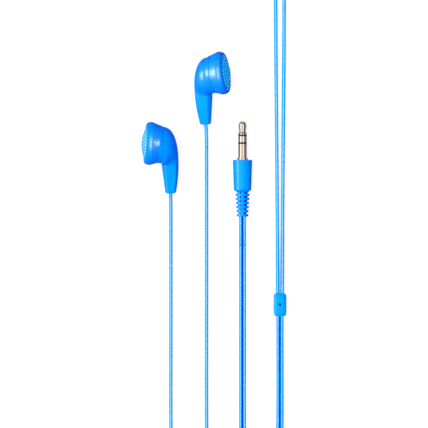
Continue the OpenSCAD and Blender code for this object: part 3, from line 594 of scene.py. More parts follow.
print("points in an oval ring:", OVAL_SIDES)

# %% Rings of the rear housing
HOUSING_WALL = 0.9
CHEEK_DROP = 0.5
HOUSING_STEPS = 40
INNER_STEPS = 16


def collar_ring(along, r):
    return oval(ELBOW_CENTRE + LEAN_FRONT * along, LEAN_UP, INTO_TABLE, r, r, 2)


def elbow_ring(share, inset=0.0):
    t = QUARTER * share
    turn = LEAN + (QUARTER - LEAN) * share
    out = Vector((-math.sin(turn), math.cos(turn), 0))
    back = math.sin(t) / (ELBOW_R + STEM_W)
    top = max(math.cos(t), 0) / (ELBOW_R + 2 * SEAM_R - COLLAR_DROP)
    reach = (back**HOUSING_ROUND + top**HOUSING_ROUND) ** (-1 / HOUSING_ROUND)
    half = (reach - ELBOW_R) / 2
    half_d = STEM_D / 2 + (SEAM_R - CHEEK_DROP - STEM_D / 2) * math.cos(t) ** 2
    return oval(out * (ELBOW_R + half), out, INTO_TABLE, half - inset, half_d - inset,
                2 + STEM_SQUARE * math.sin(t) ** 2)


def housing_rings():
    outside = [collar_ring(COLLAR, SEAM_R - SEAM_GROOVE)]
    for s in shares(GROOVE_STEPS):
        back = SEAM_GROOVE * (1 - math.cos(QUARTER * s))
        drop = SEAM_GROOVE * (1 - math.sin(QUARTER * s))
        outside.append(collar_ring(COLLAR - back, SEAM_R - drop))
    outside += [elbow_ring(s) for s in shares(HOUSING_STEPS)]
    inside = [elbow_ring(s, HOUSING_WALL) for s in reversed(shares(INNER_STEPS))]
    return [*outside, *inside, collar_ring(COLLAR, SEAM_R - HOUSING_WALL)]


print("rings in the housing:", len(housing_rings()))

# %% Rear housings
HOUSINGS = {}
for side in LIES:
    rings = [[LAY[side] @ p for p in ring] for ring in housing_rings()]
    HOUSINGS[side] = add_piece(
        f"{side}_shell", *join_rings(rings, closed=True), "housing_plastic", [f"{side}_rear_housing"]
    )

# %% [markdown]
# ## Stem boot
# The stem ends in a softer moulded boot, a shade lighter than the shell, with a fine groove where they
# meet. Its front edge runs straight and its back edge curves in, so it is lofted too, with a small
# rounded end. Its section is an octagon with soft corners: the flat panel on top takes the light as one
# even pale strip, which an oval would not. The hole for the cord is real, as is the chamber above it,
# where the crimp sits.

# %% Section of a stem boot
BOOT_GROOVE = 0.14
BOOT_ROUND = 0.45
BOOT_WALL = 0.9
CRIMP_SEAT = 4.5
CORD_HOLE_R = CORD_D / 2 + 0.08
PANEL_SHARE = 0.62
SIDE_SHARE = 0.45
BOOT_CORNER = 0.35
BOOT_CORNER_COUNT = 8
BOOT_CORNER_STEPS = OVAL_SIDES // BOOT_CORNER_COUNT
BOOT_STEPS = 24
END_STEPS = 6
ACROSS = Vector((1, 0, 0))
UP = Vector((0, 0, 1))


def panelled(half_w, half_d):
    upper = [(half_w, SIDE_SHARE * half_d), (PANEL_SHARE * half_w, half_d)]
    upper += [(-x, y) for x, y in reversed(upper)]
    corners = [Vector(p) for p in [*upper, *[(-x, -y) for x, y in upper]]]
    outline = []
    for before, corner, after in zip([corners[-1], *corners], corners, [*corners[1:], corners[0]]):
        start = corner + (before - corner).normalized() * BOOT_CORNER
        end = corner + (after - corner).normalized() * BOOT_CORNER
        for k in range(BOOT_CORNER_STEPS):
            t = k / (BOOT_CORNER_STEPS - 1)
            outline.append(start * (1 - t) ** 2 + corner * 2 * t * (1 - t) + end * t * t)
    return outline


def boot_ring(y, inset=0.0):
    s = -y / BOOT_LEN
    front = -ELBOW_R - FRONT_TAPER * s
    back = -ELBOW_R - STEM_W + BACK_TAPER * s * s
    half_d = (STEM_D + (STEM_END_D - STEM_D) * s) / 2
    centre = Vector(((front + back) / 2, y, 0))
    return [centre + Vector((x, 0, z)) for x, z in panelled((front - back) / 2 - inset, half_d - inset)]


print("points in the boot's section:", len(boot_ring(0)))

# %% Stem boots
def boot_hole(y):
    return oval(Vector((CORD_X, y, 0)), ACROSS, UP, CORD_HOLE_R, CORD_HOLE_R, 2)


def boot_rings():
    straight = BOOT_LEN - BOOT_ROUND
    shoulder = 2 * BOOT_GROOVE
    rings = [boot_ring(-shoulder * s, BOOT_GROOVE * (1 - math.sin(QUARTER * s)))
             for s in shares(GROOVE_STEPS)]
    rings += [boot_ring(-shoulder - (straight - shoulder) * s) for s in shares(BOOT_STEPS)[1:]]
    for s in shares(END_STEPS)[1:]:
        t = QUARTER * s
        rings.append(boot_ring(-straight - BOOT_ROUND * math.sin(t), BOOT_ROUND * (1 - math.cos(t))))
    return [*rings, boot_hole(-BOOT_LEN), boot_hole(-CRIMP_SEAT), boot_ring(-CRIMP_SEAT, BOOT_WALL),
            boot_ring(0, BOOT_WALL)]


BOOTS = {}
for side in LIES:
    rings = [[LAY[side] @ p for p in ring] for ring in boot_rings()]
    BOOTS[side] = add_piece(
        f"{side}_boot", *join_rings(rings, closed=True), "boot_plastic", [f"{side}_stem_boot"]
    )

# %% [markdown]
# ## Splitter
# Where the two single cords become one twin cord, a small block is moulded over them. It is a pillow
# shape, flat only in the middle, with a round hole on top where a pin held the cords in the mould. Rings
# of rounded rectangles are stacked from the bottom to the top, drawn in near both faces, and the top ring
# is joined to the hole's circle.

# %% Rings of the splitter
SPLITTER_W = 5.1
SPLITTER_T = 2.8
SPLITTER_ROUND = 1.1
SPLITTER_PILLOW = 1.7
SPLITTER_CORNER = 1.4
DIMPLE_R = 0.5
DIMPLE_DEPTH = 1.2
DIMPLE_SHARES = [(1.15, 0), (1.05, 0.05), (1, 0.15), (0.9, 0.9), (0.8, 1), (0.02, 1)]
CORNER_POINTS = 12
CORNER_SHRINK = 0.6
SPLITTER_STEPS = 8
splitter_centre = Vector((SPLITTER_X, SPLITTER_TOP - SPLITTER_L / 2, SPLITTER_Z))


def rounded_rectangle(half_w, half_l, r):
    ring = []
    for quarter, (sx, sy) in enumerate([(1, 1), (-1, 1), (-1, -1), (1, -1)]):
        for s in shares(CORNER_POINTS):
            t = QUARTER * (quarter + s)
            ring.append((sx * (half_w - r) + r * math.cos(t), sy * (half_l - r) + r * math.sin(t)))
    return ring


def both_edges(steps):
    return [*[(-1, s) for s in reversed(shares(steps))], *[(1, s) for s in shares(steps)]]


def splitter_rings():
    flat = SPLITTER_T / 2 - SPLITTER_ROUND
    rings = []
    for hand, s in both_edges(SPLITTER_STEPS):
        t = QUARTER * s
        inset = SPLITTER_PILLOW * (1 - math.cos(t))
        level = hand * (flat + SPLITTER_ROUND * math.sin(t))
        corner = SPLITTER_CORNER - CORNER_SHRINK * inset
        outline = rounded_rectangle(SPLITTER_W / 2 - inset, SPLITTER_L / 2 - inset, corner)
        rings.append([splitter_centre + Vector((x, y, level)) for x, y in outline])
    for r, level in DIMPLE_SHARES:
        depth = SPLITTER_T / 2 - DIMPLE_DEPTH * level
        ring = []
        for x, y in rounded_rectangle(SPLITTER_W / 2, SPLITTER_L / 2, SPLITTER_CORNER):
            way = Vector((x, y, 0)).normalized()
            ring.append(splitter_centre + way * DIMPLE_R * r + Vector((0, 0, depth)))
        rings.append(ring)
    return [[p * MM for p in ring] for ring in rings]


print("rings in the splitter:", len(splitter_rings()))

# %% Splitter
splitter = add_piece(
    "splitter_block", *join_rings(splitter_rings(), capped=True), "boot_plastic", ["y_splitter"]
)

# %% [markdown]
# ## Plug
# The plug is a standard 3.5 mm one with three contacts: tip, ring and sleeve, with thin black insulators
# between them. All are turned parts, so each is a profile spun about the plug's axis. Every edge has a
# tiny chamfer, because a knife-sharp edge never catches the light.

# %% Sizes of the plug, in millimetres
PLUG_R = 1.75
COLLAR_R = 2.2
COLLAR_T = 0.9
COLLAR_TAPER = 0.13
COLLAR_FALL = 0.2
SLEEVE_TOP = 6.4
RING_LOW = 7.0
RING_TOP = 9.5
TIP_LOW = 10.1
TIP_TOP = 15.4
TIP_BAND = 0.4
WAIST_R = 1.4
WAIST_LOW = TIP_LOW + 1.1
WAIST_HIGH = TIP_LOW + 1.9
NOSE_LOW = TIP_LOW + 3.18
NOSE_BAND = 0.4
NOSE_R = 1.6
NOSE_FLAT_R = 0.35
NOSE_FULLNESS = 0.8
NOSE_POINT = 1.25
NOSE_STEPS = 10
ROD_R = 0.5
ROD_HOLE_R = 0.55
TAIL_R = 1.2
TAIL_LEN = 5.7
ROD_LEN = 7.6
EDGE = 0.06
PLUG_SIDES = 72
PLUG = Matrix((
    (1, 0, 0, PLUG_X), (0, 0, 1, PLUG_Y), (0, -1, 0, HANDLE_R), (0, 0, 0, 1)
))
PLUG_PLACE = Matrix.Scale(MM, 4) @ PLUG
print("metal of the plug in mm:", TIP_TOP)

# %% Contacts and insulators of the plug
def band_profile(low, high, r, hole):
    return [(hole, low), (r - EDGE, low), (r, low + EDGE), (r, high - EDGE), (r - EDGE, high), (hole, high)]


nose = [(NOSE_FLAT_R + (NOSE_R - NOSE_FLAT_R) * math.cos(QUARTER * s) ** NOSE_FULLNESS,
         NOSE_LOW + NOSE_BAND + (TIP_TOP - NOSE_LOW - NOSE_BAND) * math.sin(QUARTER * s) ** NOSE_POINT)
        for s in shares(NOSE_STEPS)]
tip_profile = [
    (0, -ROD_LEN), (ROD_R, -ROD_LEN), (ROD_R, TIP_LOW), (PLUG_R - EDGE, TIP_LOW), (PLUG_R, TIP_LOW + EDGE),
    (PLUG_R, TIP_LOW + TIP_BAND), (WAIST_R, WAIST_LOW), (WAIST_R, WAIST_HIGH), (NOSE_R, NOSE_LOW),
    *nose, (0, TIP_TOP),
]
sleeve_profile = [
    (ROD_HOLE_R, -TAIL_LEN), (TAIL_R, -TAIL_LEN), (TAIL_R, 0), (COLLAR_R - EDGE, 0), (COLLAR_R, EDGE),
    (COLLAR_R - COLLAR_TAPER, COLLAR_T - EDGE), (COLLAR_R - COLLAR_FALL, COLLAR_T), (PLUG_R, COLLAR_T),
    (PLUG_R, SLEEVE_TOP - EDGE), (PLUG_R - EDGE, SLEEVE_TOP), (ROD_HOLE_R, SLEEVE_TOP),
]
CONTACTS = {
    "plug_tip": (tip_profile, "nickel"),
    "tip_insulator": (band_profile(RING_TOP, TIP_LOW, PLUG_R, ROD_HOLE_R), "insulator"),
    "plug_ring": (band_profile(RING_LOW, RING_TOP, PLUG_R, ROD_HOLE_R), "nickel"),
    "ring_insulator": (band_profile(SLEEVE_TOP, RING_LOW, PLUG_R, ROD_HOLE_R), "insulator"),
    "plug_sleeve": (sleeve_profile, "nickel"),
}
CONTACT_PIECES = {}
for node, (profile, slot) in CONTACTS.items():
    turned = join_rings(spin(profile, PLUG_PLACE, PLUG_SIDES), closed=True)
    CONTACT_PIECES[node] = add_piece(f"{node}_turned", *turned, slot, [node], sharp=25)

# %% [markdown]
# ## Plug handle and strain relief
# The handle and the ribbed relief behind it are one soft moulding. The ribs are part of the spun profile.
# Between them, short webs bridge the slots along the top and the bottom, and the upper ones are the
# bright line down the middle of the relief. They are small blocks set into the same mesh.

# %% Profile of the plug handle
HANDLE_BACK_R = 3.48
HANDLE_LEN = 12
HANDLE_EDGE = 0.3
HANDLE_STEPS = 5
BACK_EDGE = 0.1
CORE_R = 2.45
CORE_LEN = 9.55
RIB_T = 0.95
RIB_R = 2.85
RIB_END_R = 2.35
RIB_EDGE = 0.12
RIB_FALL = 0.08
RIB_GAP = RIB_PITCH - RIB_T
SLOT_DEPTH = 0.75
RELIEF_END = RELIEF_START + RIB_COUNT * RIB_PITCH


def rib_radius(i):
    return RIB_R + (RIB_END_R - RIB_R) * i / (RIB_COUNT - 1)


def rib_top(i):
    return -RELIEF_START - RIB_GAP - i * RIB_PITCH


def handle_profile():
    profile = [(0, -CORE_LEN), (CORE_R, -CORE_LEN), (CORE_R, 0)]
    for s in shares(HANDLE_STEPS):
        t = QUARTER * s
        profile.append((HANDLE_R - HANDLE_EDGE * (1 - math.sin(t)), -HANDLE_EDGE * (1 - math.cos(t))))
    profile += [(HANDLE_BACK_R, -HANDLE_LEN), (HANDLE_BACK_R - BACK_EDGE, -HANDLE_LEN - EDGE)]
    neck = RIB_R - SLOT_DEPTH
    profile += [(neck + HANDLE_EDGE, -RELIEF_START), (neck, -RELIEF_START - BACK_EDGE)]
    for i in range(RIB_COUNT):
        r, top = rib_radius(i), rib_top(i)
        foot = r - SLOT_DEPTH
        low = top - RIB_T
        profile += [(foot, top + EDGE), (foot + EDGE, top), (r - RIB_EDGE, top), (r, top - RIB_EDGE),
                    (r - RIB_FALL, low + RIB_EDGE), (r - RIB_FALL - RIB_EDGE, low), (foot, low)]
    return [*profile, (0, -RELIEF_END)]


print("points in the handle's profile:", len(handle_profile()))

# %% Plug handle with its webs
WEB_W = 1.1
WEB_SINK = 0.1
WEB_OVERLAP = 0.05


def web_block(i, hand):
    r = rib_radius(i) - SLOT_DEPTH / 2 - WEB_SINK
    level = rib_top(i) + RIB_GAP / 2
    half_long = RIB_GAP / 2 + WEB_OVERLAP
    place = PLUG_PLACE @ Matrix.Rotation(QUARTER, 4, "Z")
    outline = rounded_rectangle(SLOT_DEPTH / 2, WEB_W / 2, RIB_EDGE)
    rings = []
    for z in (level - half_long, level + half_long):
        rings.append([place @ Vector((hand * r + x, y, z)) for x, y in outline])
    return join_rings(rings, capped=True)


points, faces = join_rings(spin(handle_profile(), PLUG_PLACE, PLUG_SIDES))
for i in range(RIB_COUNT):
    for hand in (1, -1):
        web_points, web_faces = web_block(i, hand)
        faces += [tuple(len(points) + j for j in face) for face in web_faces]
        points += web_points
handle = add_piece("plug_handle_moulding", points, faces, "boot_plastic", ["plug_handle"], sharp=30)

# %% [markdown]
# ## Tie
# A flat band holds the hank's waist. It is one rounded rectangle round another, extruded to the band's
# width, with its long edges rounded over.

# %% Tie round the hank
TIE_T = 0.7
TIE_EDGE = 0.15
TIE_STEPS = 4
LEAST_CORNER = 0.1
tie_low, tie_high = (Vector(corner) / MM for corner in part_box("hank_tie"))
tie_centre = (tie_low + tie_high) / 2
tie_half = (tie_high - tie_low) / 2


def tie_ring(y, inset):
    outline = rounded_rectangle(tie_half.x - inset, tie_half.z - inset, max(CORD_D - inset, LEAST_CORNER))
    return [(tie_centre + Vector((x, y, z))) * MM for x, z in outline]


tie_rings = []
for hand, s in both_edges(TIE_STEPS):
    t = QUARTER * s
    y = hand * (tie_half.y - TIE_EDGE * (1 - math.sin(t)))
    tie_rings.append(tie_ring(y, TIE_EDGE * (1 - math.cos(t))))
tie_rings += [tie_ring(tie_half.y, TIE_T), tie_ring(-tie_half.y, TIE_T)]
tie = add_piece("cord_tie", *join_rings(tie_rings, closed=True), "tie_plastic", ["hank_tie"])

# %% [markdown]
# ## Nodes
# The floor, the sky and all finishes are node trees. Three small helpers keep them short: one adds a node
# and fills its sockets, one does a sum, and one tells the rays that show the background (straight from
# the camera, by a mirror or through glass) from the rays that carry light.

# %% Helpers for nodes
def add_node(tree, kind, inputs=None, **settings):
    made = tree.nodes.new(kind)
    for name, value in settings.items():
        setattr(made, name, value)
    for name, value in (inputs or {}).items():
        if isinstance(value, bpy.types.NodeSocket):
            tree.links.new(value, made.inputs[name])
        else:
            made.inputs[name].default_value = value
    return made


def math_node(tree, operation, a, b=0.0):
    return add_node(tree, "ShaderNodeMath", {0: a, 1: b}, operation=operation).outputs[0]


def seen_rays(tree):
    path = add_node(tree, "ShaderNodeLightPath")
    straight = math_node(tree, "MAXIMUM", path.outputs["Is Camera Ray"], path.outputs["Is Glossy Ray"])
    return math_node(tree, "MAXIMUM", straight, path.outputs["Is Transmission Ray"])


print("node helpers ready")

# %% [markdown]
# ## Floor
# The earphones lie on white. A floor that is only lit would be grey at an even light level, so part of
# its white is a glow that only the seen rays meet. The rest is a matte surface, which is what takes the
# shadow.

# %% Floor
FLOOR_SIZE = 6.0
FLOOR_DROP = 0.00003
FLOOR_GLOW = 0.88
FLOOR_PALE = 0.22
FLOOR_BOUNCE = 0.15

points = [(x * FLOOR_SIZE, y * FLOOR_SIZE, -FLOOR_DROP) for x, y in [(-1, -1), (1, -1), (1, 1), (-1, 1)]]
floor_mesh = bpy.data.meshes.new("floor")
floor_mesh.from_pydata(points, [], [(0, 1, 2, 3)])
floor = bpy.data.objects.new("floor", floor_mesh)
bpy.context.scene.collection.objects.link(floor)

floor_finish = bpy.data.materials.new("floor_white")
floor_finish.use_nodes = True
tree = floor_finish.node_tree
tree.nodes.clear()
seen = seen_rays(tree)
pale = math_node(tree, "ADD", math_node(tree, "MULTIPLY", seen, FLOOR_PALE - FLOOR_BOUNCE), FLOOR_BOUNCE)
matte = add_node(tree, "ShaderNodeBsdfDiffuse", {"Color": pale})
glow = add_node(tree, "ShaderNodeEmission", {"Strength": math_node(tree, "MULTIPLY", seen, FLOOR_GLOW)})
both = add_node(tree, "ShaderNodeAddShader", {0: matte.outputs[0], 1: glow.outputs[0]})
add_node(tree, "ShaderNodeOutputMaterial", {"Surface": both.outputs[0]})
floor_mesh.materials.append(floor_finish)
print("floor glow:", FLOOR_GLOW)

# %% [markdown]
# ## Light
# The shading in the picture says where the light was. Round forms are brightest a little left of their
# tops and fall off to the right, so one broad soft light hung overhead on the left, and a weak blue fill
# kept the far sides blue. Both are drawn into the sky, which lights as softly as a studio does. Mirrors
# see another sky, white with two brighter panels and two black flags: the lines along a metal pin are
# their images.

# %% Broad light and fill
BROAD_WAY = (-0.42, 0.0, 0.91)
BROAD_LEVEL = 4.3
BROAD_FALL = 6
FILL = (0.0, 0.03, 0.5, 1.0)

world = bpy.data.worlds.new("studio_sky")
bpy.context.scene.world = world
world.use_nodes = True
tree = world.node_tree
tree.nodes.clear()
way = add_node(tree, "ShaderNodeTexCoord").outputs["Generated"]


def along(axis):
    dot = add_node(tree, "ShaderNodeVectorMath", {0: way, 1: axis}, operation="DOT_PRODUCT")
    return dot.outputs["Value"]


facing = math_node(tree, "MAXIMUM", along(BROAD_WAY), 0.0)
lobe = math_node(tree, "MULTIPLY", math_node(tree, "POWER", facing, BROAD_FALL), BROAD_LEVEL)
broad = add_node(tree, "ShaderNodeBackground", {"Color": (1, 1, 1, 1), "Strength": lobe})
fill = add_node(tree, "ShaderNodeBackground", {"Color": FILL, "Strength": 1.0})
lit = add_node(tree, "ShaderNodeAddShader", {0: broad.outputs[0], 1: fill.outputs[0]})
print("broad light level on a facing surface:", round(2 * BROAD_LEVEL / (BROAD_FALL + 2), 2))

# %% White sky with panels and flags, for mirrors
BANDS = {
    "left_panel": {"angle": -50, "half_wide": 0.22, "change": 1.3},
    "right_panel": {"angle": 25, "half_wide": 0.12, "change": 1.0},
    "right_flag": {"angle": 74, "half_wide": 0.34, "change": -1.0},
}
BAND_EDGE = 0.05
FAR_FLAG = 0.6


def band(angle, half_wide, change):
    t = math.radians(angle)
    off = math_node(tree, "ABSOLUTE", along((math.cos(t), 0.0, -math.sin(t))))
    ends = {"Value": off, "From Min": half_wide + BAND_EDGE, "From Max": half_wide}
    cover = add_node(tree, "ShaderNodeMapRange", ends, interpolation_type="SMOOTHSTEP").outputs["Result"]
    front = math_node(tree, "GREATER_THAN", along((math.sin(t), 0.0, math.cos(t))), 0.0)
    return math_node(tree, "MULTIPLY", math_node(tree, "MULTIPLY", cover, front), change)


mirror = add_node(tree, "ShaderNodeLightPath").outputs["Is Glossy Ray"]
white = 1.0
for place in BANDS.values():
    white = math_node(tree, "ADD", white, math_node(tree, "MULTIPLY", band(**place), mirror))
far = math_node(tree, "MULTIPLY", math_node(tree, "GREATER_THAN", along((0.0, 1.0, 0.0)), FAR_FLAG), mirror)
white = math_node(tree, "MAXIMUM", math_node(tree, "SUBTRACT", white, far), 0.0)
shown = add_node(tree, "ShaderNodeBackground", {"Color": (1, 1, 1, 1), "Strength": white})
pick = add_node(tree, "ShaderNodeMixShader", {0: seen_rays(tree), 1: lit.outputs[0], 2: shown.outputs[0]})
add_node(tree, "ShaderNodeOutputWorld", {"Surface": pick.outputs[0]})
print("bands:", ", ".join(BANDS))

# %% [markdown]
# ## Lamps that only shine
# The white marks on the blue plastic are mirror images of lamps: a softbox low on the left, long strips
# beside and above, and a small lamp on the right. A lamp that is strong enough to leave such a mark would
# burn out all else. So its diffuse light is switched off in the ray visibility, and light linking gives
# it only the pieces that carry its mark. One weak lamp keeps its diffuse light: the fill for the grille
# that faces right.

# %% Lamps that only shine
LAMP_FAR = 1.2
BUD_SIDE = [RIMS["right"], HOUSINGS["right"], GRILLES["left"]]
LONG_PIECES = [*BOOTS.values(), splitter, handle]
CORDS = [*SINGLES.values(), twin]
LAMPS = {
    "left_softbox": {"angle": -63, "wide": 0.15, "long": 0.55, "shine": 520, "on": BUD_SIDE},
    "left_strip": {"angle": -62, "wide": 0.12, "long": 1.6, "shine": 300, "on": LONG_PIECES},
    "cord_strip": {"angle": -6, "wide": 0.14, "long": 3.0, "shine": 950, "on": CORDS},
    "right_lamp": {"angle": 55, "wide": 0.04, "long": 0.04, "shine": 14000, "on": [RIMS["left"]]},
    "right_fill": {"angle": 60, "wide": 0.3, "long": 0.6, "shine": 5, "on": [GRILLES["right"]]},
    "top_strip": {"angle": -5.5, "wide": 0.06, "long": 1.0, "shine": 950, "on": [*RIMS.values()]},
}
for name, place in LAMPS.items():
    lamp = bpy.data.lights.new(name, "AREA")
    lamp.shape = "RECTANGLE"
    lamp.size = place["wide"] * LAMP_FAR
    lamp.size_y = place["long"] * LAMP_FAR
    lamp.energy = place["shine"] * math.pi * lamp.size * lamp.size_y
    made = bpy.data.objects.new(name, lamp)
    turn = Matrix.Rotation(math.radians(place["angle"]), 4, "Y")
    made.matrix_world = turn @ Matrix.Translation((0, 0, LAMP_FAR))
    made.visible_camera = False
    made.visible_diffuse = name == "right_fill"
    receivers = bpy.data.collections.new(f"{name}_marks")
    for piece in place["on"]:
        receivers.objects.link(piece)
    made.light_linking.receiver_collection = receivers
    bpy.context.scene.collection.objects.link(made)
    print(name, "in watts:", round(lamp.energy), "on", len(place["on"]), "pieces")

# %% [markdown]
# ## Finishes
# A flat colour makes plastic look like paint on a screen. Real moulded plastic varies a little in tone,
# has a fine skin that breaks up its shine, and is glossier where the mould was polished. All of that
# comes from noise nodes read in the piece's own millimetres, so it keeps its scale on every piece and
# needs no picture files.

# %% Helpers for finishes
NOISE_LOW = 0.3
NOISE_HIGH = 0.7
MIX_FIRST = 6
MIX_SECOND = 7
MIX_RESULT = 2


def new_finish(name, **sockets):
    finish = bpy.data.materials.new(name)
    finish.use_nodes = True
    tree = finish.node_tree
    shader = tree.nodes["Principled BSDF"]
    for socket, value in sockets.items():
        shader.inputs[socket.replace("_", " ")].default_value = value
    where = add_node(tree, "ShaderNodeTexCoord").outputs["Object"]
    return finish, tree, shader, where


def noise(tree, where, size, detail=2.0, stretch=(1, 1, 1)):
    moved = add_node(tree, "ShaderNodeVectorMath", {0: where, 1: stretch}, operation="MULTIPLY").outputs[0]
    inputs = {"Vector": moved, "Scale": 1 / (size * MM), "Detail": detail}
    return add_node(tree, "ShaderNodeTexNoise", inputs).outputs["Fac"]


def spread(tree, value, low, high):
    ends = {"Value": value, "From Min": NOISE_LOW, "From Max": NOISE_HIGH, "To Min": low, "To Max": high}
    return add_node(tree, "ShaderNodeMapRange", ends).outputs["Result"]


def blend_tones(tree, factor, first, second):
    tones = {0: factor, MIX_FIRST: (*first, 1), MIX_SECOND: (*second, 1)}
    return add_node(tree, "ShaderNodeMix", tones, data_type="RGBA").outputs[MIX_RESULT]


def raise_skin(tree, shader, height, strength, depth):
    inputs = {"Height": height, "Strength": strength, "Distance": depth * MM}
    bump = add_node(tree, "ShaderNodeBump", inputs)
    tree.links.new(bump.outputs[0], shader.inputs["Normal"])


def wear(finish, *pieces):
    for made in pieces:
        made.data.materials.clear()
        made.data.materials.append(finish)
    print(finish.name, "on", len(pieces), "pieces")


print("finish helpers ready")

# %% [markdown]
# ## Blue plastics
# Three blues are seen: the shells are hard glossy plastic, the boots, the handle and the splitter are a
# softer and slightly paler one, and the cords have a satin skin. They are one recipe with other numbers.
# All plain gloss turns to a full mirror at a grazing edge, and on a white floor that makes blue edges
# lavender. So the base has no gloss, and a thin clear coat carries it: its weight scales the whole
# mirror, edges included.

# %% Blue plastics
ROUGH_SPREAD = 0.03
SKIN_DEPTH = 0.01


def moulded(name, pale, deep, patch, grain, rough, skin, **sockets):
    finish, tree, shader, where = new_finish(name, **sockets)
    tone = spread(tree, noise(tree, where, patch), low=0, high=1)
    tree.links.new(blend_tones(tree, tone, deep, pale), shader.inputs["Base Color"])
    fine = noise(tree, where, grain, detail=3)
    rough_range = (rough - ROUGH_SPREAD, rough + ROUGH_SPREAD)
    tree.links.new(spread(tree, fine, *rough_range), shader.inputs["Roughness"])
    raise_skin(tree, shader, fine, strength=skin, depth=SKIN_DEPTH)
    return finish


shell_finish = moulded(
    "shell_plastic", (0.0, 0.37, 1.0), (0.0, 0.33, 0.98), patch=7, grain=0.35, rough=0.4, skin=0.015,
    Specular_IOR_Level=0.0, Coat_Weight=0.1, Coat_Roughness=0.35,
)
boot_finish = moulded(
    "boot_plastic", (0.0, 0.44, 1.0), (0.0, 0.40, 1.0), patch=6, grain=0.3, rough=0.5, skin=0.1,
    Specular_IOR_Level=0.0, Coat_Weight=0.05, Coat_Roughness=0.3,
)
cord_finish = moulded(
    "cord_skin", (0.0, 0.52, 1.0), (0.0, 0.46, 1.0), patch=12, grain=0.25, rough=0.5, skin=0.015,
    Specular_IOR_Level=0.0, Coat_Weight=0.06, Coat_Roughness=0.4,
)
wear(shell_finish, *RIMS.values(), *HOUSINGS.values())
wear(boot_finish, *BOOTS.values(), handle, splitter)
wear(cord_finish, *SINGLES.values(), twin)

# %% [markdown]
# ## Painted shade in dark places
# The groove of the twin cord, the slots of the strain relief and the splitter's pin hole are dark, because
# little light finds its way out of them. In a blue that reflects nearly all blue light, a few bounces don't
# darken enough, so this shade is painted: these faces get a darker blue, and the pin hole a near black, in
# a second material slot. In the slots, the faces on the side towards the light are left out.

# %% Painted shade in dark places
# Painted shade: a darker blue for the groove and the slots, a near black for the pin hole.
painted_shade_finish = moulded(
    "painted_shade_blue", (0.0, 0.05, 0.70), (0.0, 0.04, 0.60), patch=12, grain=0.25, rough=0.7, skin=0.06,
    Specular_IOR_Level=0.0,
)
pin_hole_shade_finish = moulded(
    "pin_hole_shade", (0.0, 0.003, 0.03), (0.0, 0.002, 0.02), patch=2, grain=0.25, rough=0.7, skin=0.06,
    Specular_IOR_Level=0.0,
)
TWIN_POINTS = 2 * LOBE_POINTS
GROOVE_FACES = {(first + step) % TWIN_POINTS for first in (0, LOBE_POINTS) for step in (-2, -1, 0)}
SLOT_SHARE = 0.6
LIT_SIDE = -0.5


def second_finish(made, finish, chosen):
    made.data.materials.append(finish)
    faces = [face for face in made.data.polygons if chosen(face)]
    for face in faces:
        face.material_index = 1
    print(made.name, "faces in", finish.name + ":", len(faces))


def in_pin_hole(face):
    off = face.center / MM - splitter_centre
    return off.xy.length < DIMPLE_R and off.z > 0


def in_slot(face):
    off = PLUG_PLACE.inverted() @ face.center
    rib = rib_radius((rib_top(0) - off.z) / RIB_PITCH)
    deep = off.xy.length < rib - SLOT_SHARE * SLOT_DEPTH
    return off.z < -RELIEF_START and deep and off.x > LIT_SIDE * off.xy.length


# The painted shade goes on the groove, on the slot faces away from the light, and in the pin hole.
second_finish(twin, painted_shade_finish, lambda face: face.index % TWIN_POINTS in GROOVE_FACES)
second_finish(handle, painted_shade_finish, in_slot)
second_finish(splitter, pin_hole_shade_finish, in_pin_hole)

# %% [markdown]
# ## Grille finish
# The grille is a paler blue skin over punched metal, dull enough to show its holes. Dust gathers as a faint
# mottle, so its tone varies more than the shell's. The edges and walls of the holes are the second slot: a
# darker blue painted there as the shade inside the holes.

# %% Grille finish
grille_finish = moulded(
    "grille_skin", (0.0, 0.74, 1.0), (0.0, 0.66, 1.0), patch=2.5, grain=0.2, rough=0.6, skin=0.15,
    Specular_IOR_Level=0.0, Coat_Weight=1.0, Coat_Roughness=0.58,
)
# Darker blue on the holes' edges and walls: painted shade inside the holes.
hole_shade_finish = moulded(
    "grille_holes", (0.0, 0.38, 0.72), (0.0, 0.30, 0.62), patch=2.5, grain=0.2, rough=0.7, skin=0.15,
    Specular_IOR_Level=0.0,
)
wear(grille_finish, *GRILLES.values())
for side, made in GRILLES.items():
    flat = (LAY[side] @ DRIVER).inverted()
    second_finish(
        made, hole_shade_finish, lambda face: nearest_hole((flat @ face.center).xy) < HOLE_R + HOLE_EDGE
    )

# %% [markdown]
# ## Metal and insulators of the plug
# The contacts are turned and nickel plated: bright, slightly warm, with fine lines round them from the
# tool. A noise that is stretched round the axis and fine along it gives those lines. A dark brown specular
# tint makes the metal darker and browner at its grazing edge: painted shade, standing in for dark
# surroundings seen in the reflection there.

# %% Plug finishes
# The dark brown specular tint is a painted shade in the reflection at the metal's edge.
nickel_finish, tree, shader, where = new_finish(
    "turned_nickel", Metallic=1.0, Specular_Tint=(0.08, 0.03, 0.0, 1.0)
)
lines = noise(tree, where, size=0.9, detail=4, stretch=(1, 14, 1))
plating = blend_tones(tree, lines, (0.50, 0.39, 0.31), (0.70, 0.60, 0.51))
tree.links.new(plating, shader.inputs["Base Color"])
tree.links.new(spread(tree, lines, low=0.04, high=0.1), shader.inputs["Roughness"])
raise_skin(tree, shader, lines, strength=0.15, depth=SKIN_DEPTH)
wear(nickel_finish, *[CONTACT_PIECES[n] for n in ("plug_tip", "plug_ring", "plug_sleeve")])

